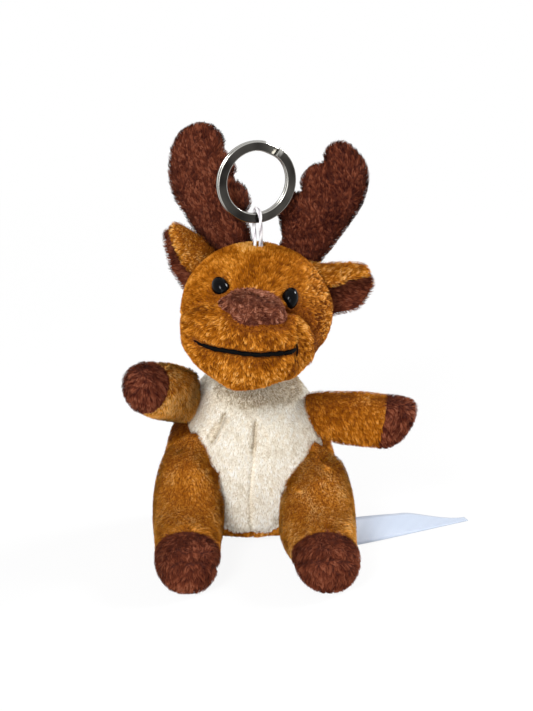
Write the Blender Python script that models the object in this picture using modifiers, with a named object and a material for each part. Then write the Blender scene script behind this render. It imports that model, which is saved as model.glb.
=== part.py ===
# Plush deer pendant that sits on its seat: stuffed torso, head, arms, legs and antlers,
# folded ears, a cord loop on the crown and a split ring.
# Metres, +Z up, face towards -Y. The origin is on the floor below the middle of the neck.
# Left and right are the animal's own: its left side is +X.

import math

import bmesh
import bpy
from mathutils import Matrix, Vector
from mathutils.bvhtree import BVHTree

# How many segments go round the cage of each form
torso_segments = 12
head_segments = 14
arm_segments = 8
leg_segments = 10
antler_segments = 8

# Clearances, walls and cuts
clearance = 0.0003
cloth_wall = 0.0012
flat_depth = 0.0005
overrun = 0.004
reach = 0.12

# Torso
torso_height = 0.0585
torso_half_width = 0.0277
torso_half_depth = 0.0176
torso_side_shift = -0.0020
lean_degrees = 8.0
# height, width, depth, sideways shift and lean, as shares of the sizes above
torso_shares = [
    (0.000, 0.00, 0.00, 1.0, 0.0),
    (0.015, 0.66, 0.60, 1.0, 0.0),
    (0.080, 0.93, 0.90, 1.0, 0.0),
    (0.200, 1.02, 1.02, 1.0, 0.0),
    (0.340, 1.02, 1.04, 1.0, 0.2),
    (0.490, 0.95, 1.00, 0.9, 0.5),
    (0.640, 0.84, 0.90, 0.6, 0.8),
    (0.780, 0.71, 0.77, 0.2, 1.0),
    (0.890, 0.50, 0.66, -0.1, 1.0),
    (0.960, 0.33, 0.50, -0.25, 1.0),
    (1.000, 0.00, 0.00, -0.25, 1.0),
]
# the hollow in the head that the neck fills, as shares of the half width and half depth
neck_width_share = 0.451
neck_depth_share = 0.710
neck_share = 0.875

# Belly panel, an outline seen from the front as shares of the torso's half width and height
belly_shares = [
    (-0.56, 0.905), (-0.60, 0.80), (-0.68, 0.68), (-0.80, 0.59), (-0.68, 0.48), (-0.50, 0.35),
    (-0.37, 0.22), (-0.31, 0.06), (-0.02, 0.015), (0.19, 0.03), (0.32, 0.19), (0.52, 0.32),
    (0.86, 0.47), (0.78, 0.60), (0.68, 0.74), (0.58, 0.86), (0.45, 0.905),
]

# Head, in its own frame: x to the animal's left, -y forwards, z up
# its middle beside the neck's, over its half width, and above the neck's, over its half height
head_shift_share = 0.047
head_rise_share = 1.177
head_roll_degrees = 9.0
head_yaw_degrees = -8.0
head_half_width = 0.0236
head_half_height = 0.0198
head_back = 0.0190
head_front = 0.0380
# forwards (shares of back, then of front), half width, half height and rise of the middle
head_shares = [
    (-1.00, 0.00, 0.00, 0.00),
    (-0.88, 0.50, 0.52, 0.02),
    (-0.50, 0.86, 0.88, 0.00),
    (0.00, 1.00, 1.00, -0.01),
    (0.24, 0.985, 0.99, -0.04),
    (0.45, 0.90, 0.88, -0.12),
    (0.62, 0.86, 0.81, -0.18),
    (0.81, 0.72, 0.68, -0.17),
    (0.95, 0.38, 0.38, -0.07),
    (1.00, 0.00, 0.00, -0.04),
]
crown_seam_share = 0.05
muzzle_half_width = 0.0185
muzzle_top = 0.0075
muzzle_round = 0.0135
muzzle_back_share = 0.3
nose_half_width = 0.0100
nose_half_height = 0.0052
nose_tilt_degrees = 42.0
nose_forward_share = 0.78
nose_height_share = 0.44
nose_roll_degrees = 5.0
eye_half_width = 0.0026
eye_half_height = 0.0027
eye_half_depth = 0.0016
eye_spread = 0.0100
eye_height = 0.0112
mouth_wire = 0.0012
# sideways as shares of the muzzle's half width, up as shares of its rounding
mouth_shares = [
    (-0.78, -0.34), (-0.60, -0.36), (-0.40, -0.33), (-0.15, -0.28), (0.10, -0.24),
    (0.35, -0.20), (0.58, -0.15), (0.80, -0.08),
]

# Arms, each in the frame of its seam: x outwards, z up the seam
arm_length = 0.0325
arm_half_height = 0.0096
arm_half_depth = 0.0074
arm_root = 0.0016
paw_share = 0.63
arm_shares = [
    (0.00, 0.00, 0.00),
    (0.00, 0.86, 0.27),
    (0.10, 0.99, 0.58),
    (0.28, 0.98, 0.90),
    (0.52, 0.98, 1.00),
    (0.72, 0.95, 1.00),
    (0.93, 0.72, 0.80),
    (1.00, 0.00, 0.00),
]
# The middle of each seam, as shares of the torso's half width, half depth and height
arm_place_shares = {"arm_left": (0.747, -0.352, 0.687), "arm_right": (-0.742, -0.477, 0.807)}
# rise of the paw over the arm's length
arm_rise_shares = {"arm_left": -0.30, "arm_right": 0.26}
# lean of the seam towards its top, and swing forwards at rest
arm_turn_degrees = {"arm_left": (-14.0, 2.0), "arm_right": (14.0, 52.0)}

# Legs, each in the frame of its hip seam: -y forwards
leg_length = 0.0490
leg_half_width = 0.0113
leg_half_height = 0.0136
foot_share = 0.765
leg_shares = [
    (0.00, 0.00, 0.00),
    (0.03, 0.68, 0.76),
    (0.16, 1.00, 1.00),
    (0.34, 1.00, 0.92),
    (0.56, 0.92, 0.76),
    (0.76, 0.84, 0.65),
    (0.92, 0.72, 0.55),
    (1.00, 0.00, 0.00),
]
hip_back = 0.0115
hip_height = 0.0255
# The middle of each hip seam, as shares of the torso's half width and half depth
leg_place_shares = {"leg_left": (0.675, -0.852), "leg_right": (-0.744, -0.852)}
leg_splay_degrees = {"leg_left": 6.0, "leg_right": 0.5}
limb_clearance = 0.0005

# Antlers, flat stuffed shapes in the frame of their base seam: x outwards, z up
antler_height = 0.0385
antler_half_depth = 0.0040
# height, outer edge and inner edge as shares of the height, and depth as a share of its half
antler_shares = [
    (-0.16, 0.10, 0.00, 0.0),
    (-0.10, 0.16, -0.12, 0.9),
    (0.04, 0.20, -0.14, 1.0),
    (0.17, 0.32, -0.12, 1.0),
    (0.27, 0.41, -0.14, 1.0),
    (0.36, 0.455, -0.25, 0.98),
    (0.44, 0.49, -0.22, 0.96),
    (0.495, 0.505, 0.08, 0.90),
    (0.56, 0.52, -0.01, 0.96),
    (0.66, 0.525, -0.03, 0.96),
    (0.725, 0.52, 0.22, 0.88),
    (0.79, 0.50, 0.13, 0.90),
    (0.93, 0.40, 0.15, 0.72),
    (1.00, 0.30, 0.24, 0.0),
]
# The middle of each base seam, as shares of the head's half width, back and half height
antler_place_shares = {"antler_left": (0.370, 0.628, 0.747), "antler_right": (-0.512, 0.453, 0.691)}
# tip backwards, lean and turn in the head's frame
antler_turn_degrees = {"antler_left": (0.8, -5.9, 0.0), "antler_right": (3.5, -9.4, -12.3)}
antler_size_shares = {"antler_left": 0.97, "antler_right": 1.02}

# Ears, folded leaves in the frame of their base: x outwards, the fold's crease uppermost
ear_length = 0.0160
ear_fold = 0.0024
ear_front_flap = 0.0042
ear_back_flap = 0.0128
ear_wall = 0.0010
ear_lining_wall = 0.0008
ear_gap = 0.0009
ear_lining_share = 0.94
# along the ear, and how much of the front flap, of the back flap and of the fold is left there
ear_shares = [
    (0.00, 0.80, 0.90, 1.00),
    (0.20, 1.00, 1.00, 1.00),
    (0.44, 0.90, 1.00, 0.95),
    (0.66, 0.70, 0.90, 0.85),
    (0.86, 0.40, 0.70, 0.70),
    (1.00, 0.15, 0.36, 0.50),
]
# The base of each ear, as shares of the head's half width, back and half height
ear_place_shares = {"ear_left": (0.717, 0.391, 0.587), "ear_right": (-0.805, 0.072, 0.480)}
# the way each ear points in the head's frame, as shares of its length
ear_way_shares = {"ear_left": (0.990, 0.039, 0.136), "ear_right": (-0.785, -0.241, 0.570)}
ear_roll_degrees = {"ear_left": 6.0, "ear_right": -4.0}

# Cord loop and split ring
cord_wire = 0.0013
# Where the cord leaves the crown, as shares of the head's half width and back
cord_place_shares = (-0.147, -0.004)
cord_tail = 0.0034
cord_rise = 0.0081
cord_spread = 0.00195
ring_radius = 0.0125
ring_band = 0.0029
ring_turn_wall = 0.0009
ring_turn_pitch = 0.00135
ring_turns = 1.94
ring_start_share = 0.135
ring_points_a_turn = 28
ring_yaw_degrees = 21.0
ring_lean_degrees = 4.0

# Sewn-in label, a blank ribbon that lies on the floor beside the left leg
label_wall = 0.0003
label_width = 0.0100
label_length = 0.0420
# The near corner of its seam, as shares of the torso's half width and half depth
label_place_shares = (1.080, -0.864)
label_steps = 10
# how far along, heading from +X in degrees, and tilt out of the floor in degrees
label_turn_shares = [
    (0.00, 24.0, 36.0), (0.25, 27.0, 27.0), (0.50, 28.0, 17.0), (0.75, 28.0, 9.0), (1.00, 27.0, 3.0),
]


def clear_scene():
    for found in list(bpy.data.objects):
        bpy.data.objects.remove(found, do_unlink=True)


def new_collection(name):
    made = bpy.data.collections.new(name)
    bpy.context.scene.collection.children.link(made)
    return made


def material(name, colour, roughness, metallic=0.0):
    made = bpy.data.materials.new(name)
    made.use_nodes = True
    shader = made.node_tree.nodes["Principled BSDF"]
    shader.inputs["Base Color"].default_value = (*colour, 1.0)
    shader.inputs["Roughness"].default_value = roughness
    shader.inputs["Metallic"].default_value = metallic
    made.diffuse_color = (*colour, 1.0)
    return made


def add_part(name, mesh, finish, frame=None):
    made = bpy.data.objects.new(name, mesh)
    mesh.materials.clear()
    mesh.materials.append(finish)
    parts.objects.link(made)
    made.parent = frame
    return made


def add_cutter(name, mesh, frame=None):
    made = bpy.data.objects.new(name, mesh)
    cutters.objects.link(made)
    made.parent = frame
    made.hide_render = True
    made.display_type = "WIRE"
    return made


def add_frame(name, place, turn, parent=None):
    made = bpy.data.objects.new(name, None)
    parts.objects.link(made)
    made.parent = parent
    made.matrix_basis = Matrix.Translation(Vector(place)) @ turn
    return made


def turned(axis, degrees):
    return Matrix.Rotation(math.radians(degrees), 4, axis)


def join_with(target, other, operation, solver="EXACT"):
    step = target.modifiers.new(f"{operation.lower()} {other.name}", "BOOLEAN")
    step.object = other
    step.operation = operation
    step.solver = solver


def keep_inside(target, other):
    join_with(target, other, "INTERSECT")


def cut_away(target, other, solver="EXACT"):
    join_with(target, other, "DIFFERENCE", solver)


def evaluated_copy(source):
    bpy.context.view_layer.update()
    graph = bpy.context.evaluated_depsgraph_get()
    return bpy.data.meshes.new_from_object(source.evaluated_get(graph))


def mesh_from(bm, name):
    bmesh.ops.recalc_face_normals(bm, faces=bm.faces)
    mesh = bpy.data.meshes.new(name)
    bm.to_mesh(mesh)
    bm.free()
    return mesh


# The stations as one subdivision leaves them, for a plain form that lies inside the smooth one
def smoothed(stations):
    rows = [tuple(0.88 * a + 0.12 * b for a, b in zip(stations[0], stations[1]))]
    for before, here, after in zip(stations, stations[1:], stations[2:]):
        rows.append(tuple((a + 6 * b + c) / 8 for a, b, c in zip(before, here, after)))
    rows.append(tuple(0.88 * a + 0.12 * b for a, b in zip(stations[-1], stations[-2])))
    rows[0] = (rows[0][0], 0.0, 0.0, *rows[0][3:])
    rows[-1] = (rows[-1][0], 0.0, 0.0, *rows[-1][3:])
    return rows


# A stuffed form: a round cage along z whose rings follow the stations, then subdivided.
# A station is (along, half x, half y, shift x, shift y, lean in radians about y).
def soft_mesh(name, stations, segments, level=1, inset=0.0):
    bm = bmesh.new()
    bmesh.ops.create_uvsphere(bm, u_segments=segments, v_segments=len(stations) - 1, radius=1)
    widen = 0.75 + 0.25 * math.cos(2 * math.pi / segments) if level else 1.0
    rows = stations if level else smoothed(stations)
    middle, half_length = (rows[0][0] + rows[-1][0]) / 2, (rows[-1][0] - rows[0][0]) / 2
    shrink = 1 - inset / half_length
    for corner in bm.verts:
        polar = math.acos(max(-1.0, min(1.0, -corner.co.z)))
        ring = round(polar / math.pi * (len(stations) - 1))
        along, half_x, half_y, shift_x, shift_y, lean = rows[ring]
        angle = math.atan2(corner.co.y, corner.co.x)
        wide = max(half_x - inset, 0.0) / widen
        deep = max(half_y - inset, 0.0) / widen
        along = middle + (along - middle) * shrink
        if half_x == 0.0:
            wide = deep = 0.0
        across = wide * math.cos(angle)
        corner.co = (
            shift_x + across * math.cos(lean),
            shift_y + deep * math.sin(angle),
            along - across * math.sin(lean),
        )
    bmesh.ops.remove_doubles(bm, verts=bm.verts, dist=1e-7)
    mesh = mesh_from(bm, name)
    mesh.shade_smooth()
    if not level:
        return mesh
    cage = bpy.data.objects.new(name, mesh)
    cutters.objects.link(cage)
    smooth = cage.modifiers.new("smooth", "SUBSURF")
    smooth.levels = smooth.render_levels = level
    made = evaluated_copy(cage)
    bpy.data.objects.remove(cage)
    return made


def turned_mesh(mesh, turn):
    mesh.transform(turn)
    return mesh


# A block from its lowest and highest corners
def block_mesh(name, low, high):
    bm = bmesh.new()
    bmesh.ops.create_cube(bm, size=1.0)
    low, high = Vector(low), Vector(high)
    bmesh.ops.scale(bm, vec=high - low, verts=bm.verts)
    bmesh.ops.translate(bm, vec=(low + high) / 2, verts=bm.verts)
    return mesh_from(bm, name)


# An ellipsoid of the given half sizes
def round_mesh(name, halves, segments=16, rings=10):
    bm = bmesh.new()
    bmesh.ops.create_uvsphere(bm, u_segments=segments, v_segments=rings, radius=1)
    bmesh.ops.scale(bm, vec=halves, verts=bm.verts)
    mesh = mesh_from(bm, name)
    mesh.shade_smooth()
    return mesh


# A prism along y from a closed outline in x and z, grown sideways by a margin
def prism_mesh(name, outline, front, back, margin=0.0):
    count = len(outline)
    grown = []
    for i, point in enumerate(outline):
        before = Vector(outline[i - 1])
        after = Vector(outline[(i + 1) % count])
        along = (after - before).normalized()
        grown.append(Vector(point) + Vector((along.y, -along.x)) * margin)
    bm = bmesh.new()
    ring = [bm.verts.new((point.x, front, point.y)) for point in grown]
    face = bm.faces.new(ring)
    moved = bmesh.ops.extrude_face_region(bm, geom=[face])
    far = [item for item in moved["geom"] if isinstance(item, bmesh.types.BMVert)]
    bmesh.ops.translate(bm, vec=(0, back - front, 0), verts=far)
    return mesh_from(bm, name)


def outline_area(outline):
    return sum(
        a[0] * b[1] - b[0] * a[1] for a, b in zip(outline, outline[1:] + outline[:1])
    )


# Runs anticlockwise seen from the front, so that a positive margin grows it
def anticlockwise(outline):
    return outline if outline_area(outline) > 0 else outline[::-1]


# A tube along the points, closed at both ends
def tube_mesh(name, points, radius, sides_resolution=2):
    line = bpy.data.curves.new(name, "CURVE")
    line.dimensions = "3D"
    spline = line.splines.new("POLY")
    spline.points.add(len(points) - 1)
    for point, place in zip(spline.points, points):
        point.co = (*place, 1.0)
    line.bevel_depth = radius
    line.bevel_resolution = sides_resolution
    line.use_fill_caps = True
    source = bpy.data.objects.new(name, line)
    cutters.objects.link(source)
    mesh = evaluated_copy(source)
    bpy.data.objects.remove(source)
    bm = bmesh.new()
    bm.from_mesh(mesh)
    bmesh.ops.remove_doubles(bm, verts=bm.verts, dist=1e-6)
    return mesh_from(bm, name)


# Points on a smooth curve through the given ones
def smooth_route(points, steps):
    points = [Vector(point) for point in points]
    padded = [2 * points[0] - points[1], *points, 2 * points[-1] - points[-2]]
    route = []
    for i in range(1, len(padded) - 2):
        a, b, c, d = padded[i - 1 : i + 3]
        for step in range(steps):
            t = step / steps
            route.append(
                0.5 * (2 * b + (c - a) * t + (2 * a - 5 * b + 4 * c - d) * t**2
                       + (3 * b - a - 3 * c + d) * t**3)
            )
    route.append(points[-1])
    return route


def torso_stations():
    table = []
    for up, width, depth, shift, lean in torso_shares:
        table.append(
            (
                up * torso_height - flat_depth,
                width * torso_half_width,
                depth * torso_half_depth,
                shift * torso_side_shift,
                0.0,
                math.radians(lean_degrees) * lean,
            )
        )
    return table


def build_torso(caramel, cream, stuffing):
    outer = soft_mesh("torso", torso_stations(), torso_segments)
    inner = soft_mesh("torso_inside", torso_stations(), torso_segments, 0, cloth_wall)
    inside = add_cutter("torso_inside", inner)
    floor = add_cutter(
        "floor_cut", block_mesh("floor_cut", (-reach, -reach, -reach), (reach, reach, 0.0))
    )
    outline = [(x * torso_half_width + torso_side_shift / 2, z * torso_height) for x, z in belly_shares]
    outline = anticlockwise(outline)
    belly = add_cutter("belly_cut", prism_mesh("belly_cut", outline, -reach, 0.0))
    wide = prism_mesh("belly_gap", outline, -reach, 0.0, clearance)
    belly_gap = add_cutter("belly_gap", wide)

    back_panel = add_part("back_panel", outer, caramel)
    for other in (inside, belly_gap, floor):
        cut_away(back_panel, other)
    belly_panel = add_part("belly_panel", outer.copy(), cream)
    cut_away(belly_panel, inside)
    keep_inside(belly_panel, belly)
    cut_away(belly_panel, floor)
    filling = soft_mesh("torso_stuffing", torso_stations(), torso_segments, 0, cloth_wall + clearance)
    add_part("torso_stuffing", filling, stuffing)
    clear = soft_mesh("torso_clear", torso_stations(), torso_segments, 1, -limb_clearance)
    return add_cutter("torso_clear", clear), floor


# The middle of the joint between the torso and the head
def neck_place():
    return Vector((torso_shares[-1][3] * torso_side_shift, 0, torso_height * neck_share))


def head_stations():
    table = []
    for forward, width, height, rise in head_shares:
        along = forward * (head_front if forward > 0 else head_back)
        table.append(
            (along, width * head_half_width, height * head_half_height, 0.0,
             rise * head_half_height, 0.0)
        )
    return table


# Turns a form that was made along z so that it runs forwards, with its second axis up
forwards = Matrix(((1, 0, 0, 0), (0, 0, -1, 0), (0, 1, 0, 0), (0, 0, 0, 1)))


def head_form(name, segments, level, inset):
    return turned_mesh(soft_mesh(name, head_stations(), segments, level, inset), forwards)


# The place and outward direction on the head straight behind (x, z) in its own frame
def on_face(tree, x, z):
    place, normal, _, _ = tree.ray_cast(Vector((x, -reach, z)), Vector((0, 1, 0)))
    return place, normal


def facing(normal):
    return normal.to_track_quat("-Y", "Z").to_matrix().to_4x4()


def build_head(frame, caramel, brown, black, plastic, stuffing):
    outer = head_form("head", head_segments, 1, 0.0)
    bm = bmesh.new()
    bm.from_mesh(outer)
    tree = BVHTree.FromBMesh(bm)
    bm.free()

    inside = add_cutter("head_inside", head_form("head_inside", head_segments, 0, cloth_wall), frame)
    seam = -crown_seam_share * head_front
    far = (reach, reach, reach)
    behind = add_cutter("head_back_cut", block_mesh("head_back_cut", (-reach, seam, -reach), far), frame)
    gap = block_mesh("head_back_gap", (-reach, seam - clearance, -reach), far)
    behind_gap = add_cutter("head_back_gap", gap, frame)

    steps = 10
    arch = [
        (
            muzzle_half_width * math.cos(math.pi * i / steps),
            muzzle_top - muzzle_round + muzzle_round * math.sin(math.pi * i / steps),
        )
        for i in range(steps + 1)
    ]
    arch += [(-muzzle_half_width, -reach), (muzzle_half_width, -reach)]
    arch = anticlockwise(arch)
    muzzle_back = -muzzle_back_share * head_front
    muzzle_cut = add_cutter("muzzle_cut", prism_mesh("muzzle_cut", arch, -reach, muzzle_back), frame)
    gap = prism_mesh("muzzle_gap", arch, -reach, muzzle_back + clearance, clearance)
    muzzle_gap = add_cutter("muzzle_gap", gap, frame)

    steps = 18
    lens = [
        (
            nose_half_width * math.cos(2 * math.pi * i / steps),
            nose_half_height * math.sin(2 * math.pi * i / steps),
        )
        for i in range(steps)
    ]
    lens = anticlockwise(lens)
    nose_turn = (
        Matrix.Translation((0, -nose_forward_share * head_front, nose_height_share * head_half_height))
        @ turned("Y", -nose_roll_degrees)
        @ turned("X", -nose_tilt_degrees)
    )
    cut = prism_mesh("nose_cut", lens, -overrun * 3, overrun)
    nose_cut = add_cutter("nose_cut", turned_mesh(cut, nose_turn), frame)
    gap = prism_mesh("nose_gap", lens, -overrun * 3, overrun, clearance)
    nose_gap = add_cutter("nose_gap", turned_mesh(gap, nose_turn), frame)

    neck_turn = Matrix.Translation(neck_place()) @ turned("Y", lean_degrees)
    halves = (
        neck_width_share * torso_half_width,
        neck_depth_share * torso_half_depth,
        torso_height * (1 - neck_share) + clearance,
    )
    neck_gap = add_cutter("neck_gap", turned_mesh(round_mesh("neck_gap", halves, 20, 12), neck_turn))
    above = Vector((cord_place_shares[0] * head_half_width, cord_place_shares[1] * head_back, reach))
    crown = tree.ray_cast(above, Vector((0, 0, -1)))[0]
    cord_place = frame.matrix_basis @ crown
    hole_radius = (cord_spread + cord_wire) / 2 + 3 * clearance
    hole = round_mesh("cord_hole", (hole_radius, hole_radius, cord_tail + cord_wire), 14, 8)
    cord_hole = add_cutter("cord_hole", hole)
    cord_hole.location = cord_place
    halves = (hole_radius + cord_wire, hole_radius + cord_wire, cord_tail + 2 * cord_wire)
    cord_pocket = add_cutter("cord_pocket", round_mesh("cord_pocket", halves, 14, 8))
    cord_pocket.location = cord_place

    forehead = add_part("forehead_panel", outer, caramel, frame)
    muzzle = add_part("muzzle_panel", outer.copy(), caramel, frame)
    back = add_part("head_back_panel", outer.copy(), caramel, frame)
    nose = add_part("nose_patch", outer.copy(), brown, frame)
    for panel in (forehead, muzzle, back, nose):
        cut_away(panel, inside)
    for other in (behind_gap, muzzle_gap, nose_gap, neck_gap, cord_hole):
        cut_away(forehead, other)
    keep_inside(muzzle, muzzle_cut)
    for other in (nose_gap, neck_gap):
        cut_away(muzzle, other)
    keep_inside(back, behind)
    for other in (neck_gap, cord_hole):
        cut_away(back, other)
    keep_inside(nose, nose_cut)

    for name, side in (("eye_left", 1), ("eye_right", -1)):
        place, normal = on_face(tree, side * eye_spread, eye_height)
        turn = Matrix.Translation(place) @ facing(normal)
        eye = round_mesh(name, (eye_half_width, eye_half_depth, eye_half_height), 14, 8)
        add_part(name, turned_mesh(eye, turn), plastic, frame)
        halves = (eye_half_width + clearance, eye_half_depth + clearance, eye_half_height + clearance)
        socket = turned_mesh(round_mesh(f"{name}_gap", halves, 14, 8), turn)
        cut_away(forehead, add_cutter(f"{name}_gap", socket, frame))

    line = [on_face(tree, x * muzzle_half_width, z * muzzle_round)[0] for x, z in mouth_shares]
    route = smooth_route(line, 2)
    add_part("mouth_stitch", tube_mesh("mouth_stitch", route, mouth_wire / 2, 1), black, frame)
    groove = tube_mesh("mouth_gap", route, mouth_wire / 2 + clearance, 1)
    cut_away(muzzle, add_cutter("mouth_gap", groove, frame))

    filling = head_form("head_stuffing", head_segments, 0, cloth_wall + clearance)
    filling = add_part("head_stuffing", filling, stuffing, frame)
    cut_away(filling, neck_gap)
    cut_away(filling, cord_pocket)
    return cord_place


def limb_stations(shares, length, half_a, half_b, slope=0.0, start=0.0):
    return [
        (start + along * length, a * half_a, b * half_b, 0.0, slope * along * length, 0.0)
        for along, a, b in shares
    ]


# Turns a form that was made along z so that it runs outwards along x, its second axis up
outwards = Matrix(((0, 0, 1, 0), (1, 0, 0, 0), (0, 1, 0, 0), (0, 0, 0, 1)))


# The side that a piece is on, +1 for the animal's left and -1 for its right
def side_of(name):
    return 1 if name.endswith("left") else -1


def build_arm(name, caramel, brown, stuffing):
    side = side_of(name)
    slope = arm_rise_shares[name]
    seam_lean, swing = arm_turn_degrees[name]
    sizes = (torso_half_width, torso_half_depth, torso_height)
    place = [share * size for share, size in zip(arm_place_shares[name], sizes)]
    turn = turned("Y", seam_lean) @ turned("Z", 0 if side > 0 else 180)
    turn = turn @ turned("Z", -side * swing)
    frame = add_frame(f"{name}_seam", place, turn)
    shares = [(along, deep, high) for along, high, deep in arm_shares]
    table = limb_stations(shares, arm_length, arm_half_depth, arm_half_height, slope, -arm_root)
    border = paw_share * arm_length

    def form(label, segments, level, inset):
        return turned_mesh(soft_mesh(label, table, segments, level, inset), outwards)

    outer = form(name, arm_segments, 1, 0.0)
    inside = add_cutter(f"{name}_inside", form(f"{name}_inside", arm_segments, 0, cloth_wall), frame)
    square = Matrix.Translation((border, 0, slope * border)) @ Matrix.Rotation(-math.atan(slope), 4, "Y")
    end = turned_mesh(block_mesh(f"{name}_end", (0, -reach, -reach), (reach, reach, reach)), square)
    end_gap = block_mesh(f"{name}_end_gap", (-clearance, -reach, -reach), (reach, reach, reach))
    end_gap = turned_mesh(end_gap, square)
    sleeve = add_part(f"{name}_sleeve", outer, caramel, frame)
    cut_away(sleeve, inside)
    cut_away(sleeve, add_cutter(f"{name}_end_gap", end_gap, frame))
    paw = add_part(f"{name}_paw", outer.copy(), brown, frame)
    cut_away(paw, inside)
    keep_inside(paw, add_cutter(f"{name}_end", end, frame))
    filling = form(f"{name}_stuffing", arm_segments, 0, cloth_wall + 2 * clearance)
    add_part(f"{name}_stuffing", filling, stuffing, frame)


def build_leg(name, caramel, brown, stuffing, torso, floor):
    across, along = leg_place_shares[name]
    place = (across * torso_half_width, along * torso_half_depth, hip_height)
    frame = add_frame(f"{name}_hip", place, turned("Z", leg_splay_degrees[name]))
    table = []
    for along, wide, high in leg_shares:
        half_height = high * leg_half_height
        table.append(
            (along * leg_length - hip_back, wide * leg_half_width, half_height, 0.0,
             max(half_height, 0.55 * leg_half_height) - hip_height - flat_depth, 0.0)
        )
    border = hip_back - foot_share * leg_length

    def form(label, segments, level, inset):
        return turned_mesh(soft_mesh(label, table, segments, level, inset), forwards)

    outer = form(name, leg_segments, 1, 0.0)
    inside = add_cutter(f"{name}_inside", form(f"{name}_inside", leg_segments, 0, cloth_wall), frame)
    end = block_mesh(f"{name}_end", (-reach, -reach, -reach), (reach, border, reach))
    end_gap = block_mesh(f"{name}_end_gap", (-reach, -reach, -reach), (reach, border + clearance, reach))
    sleeve = add_part(f"{name}_sleeve", outer, caramel, frame)
    foot = add_part(f"{name}_foot", outer.copy(), brown, frame)
    for piece in (sleeve, foot):
        cut_away(piece, inside)
    cut_away(sleeve, add_cutter(f"{name}_end_gap", end_gap, frame))
    cut_away(sleeve, torso)
    cut_away(sleeve, floor)
    keep_inside(foot, add_cutter(f"{name}_end", end, frame))
    cut_away(foot, floor)
    filling = form(f"{name}_stuffing", leg_segments, 0, cloth_wall + clearance)
    cut_away(add_part(f"{name}_stuffing", filling, stuffing, frame), torso)


def antler_stations(size, side):
    table = []
    for up, outer_edge, inner_edge, deep in antler_shares:
        table.append(
            (
                up * antler_height * size,
                (outer_edge - inner_edge) / 2 * antler_height * size,
                deep * antler_half_depth,
                side * (outer_edge + inner_edge) / 2 * antler_height * size,
                0.0,
                0.0,
            )
        )
    return table


def on_head(shares):
    sizes = (head_half_width, head_back, head_half_height)
    return [share * size for share, size in zip(shares, sizes)]


def build_antler(name, brown, stuffing, head, clear):
    tip, lean, turn = antler_turn_degrees[name]
    pose = turned("Z", turn) @ turned("Y", lean) @ turned("X", tip)
    frame = add_frame(f"{name}_base", on_head(antler_place_shares[name]), pose, head)
    table = antler_stations(antler_size_shares[name], side_of(name))
    outer = soft_mesh(name, table, antler_segments)
    inner = soft_mesh(f"{name}_inside", table, antler_segments, 0, cloth_wall)
    inside = add_cutter(f"{name}_inside", inner, frame)
    front = block_mesh(f"{name}_front", (-reach, -reach, -reach), (reach, -clearance / 2, reach))
    back = block_mesh(f"{name}_back", (-reach, clearance / 2, -reach), (reach, reach, reach))
    for label, half in (("front", front), ("back", back)):
        skin = add_part(f"{name}_{label}", outer.copy(), brown, frame)
        keep_inside(skin, add_cutter(f"{name}_{label}_half", half, frame))
        cut_away(skin, inside)
        cut_away(skin, clear, "MANIFOLD")
    filling = soft_mesh(f"{name}_stuffing", table, antler_segments, 0, cloth_wall + clearance)
    cut_away(add_part(f"{name}_stuffing", filling, stuffing, frame), clear)


# One leaf of a folded ear: a fold of the given radius with a flap hanging from each side
def leaf_mesh(name, radius, front_flap, back_flap, length, side):
    arc_steps, flap_steps = 4, 2
    bm = bmesh.new()
    rows = []
    for along, front, back, fold in ear_shares:
        row = []
        r = radius * fold
        for i in range(flap_steps, 0, -1):
            row.append((along * length, -side * r, -front_flap * front * i / flap_steps))
        for i in range(arc_steps + 1):
            angle = math.pi * i / arc_steps
            row.append((along * length, -side * r * math.cos(angle), r * math.sin(angle)))
        for i in range(1, flap_steps + 1):
            row.append((along * length, side * r, -back_flap * back * i / flap_steps))
        rows.append([bm.verts.new(point) for point in row])
    for one, two in zip(rows, rows[1:]):
        for i in range(len(one) - 1):
            bm.faces.new((one[i], one[i + 1], two[i + 1], two[i]))
    mesh = bpy.data.meshes.new(name)
    bm.to_mesh(mesh)
    bm.free()
    return mesh


def build_ear(name, caramel, brown, head, clear):
    side = side_of(name)
    outward = Vector(ear_way_shares[name]).normalized()
    across = Vector((0, side, 0))
    across = (across - across.dot(outward) * outward).normalized()
    pose = Matrix((outward, across, outward.cross(across))).transposed().to_4x4()
    pose = pose @ turned("X", ear_roll_degrees[name])
    frame = add_frame(f"{name}_base", on_head(ear_place_shares[name]), pose, head)
    lining_radius = ear_fold - ear_wall - clearance
    for label, radius, finish in (("outer", ear_fold, caramel), ("lining", lining_radius, brown)):
        share = 1.0 if label == "outer" else ear_lining_share
        flaps = (ear_front_flap * share, ear_back_flap * share)
        leaf = leaf_mesh(f"{name}_{label}", radius, *flaps, ear_length * share, side)
        piece = add_part(f"{name}_{label}", leaf, finish, frame)
        thick = piece.modifiers.new("cloth", "SOLIDIFY")
        thick.thickness = ear_wall if label == "outer" else ear_lining_wall
        thick.offset = -1.0 if side > 0 else 1.0
        cut_away(piece, clear)


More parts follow.
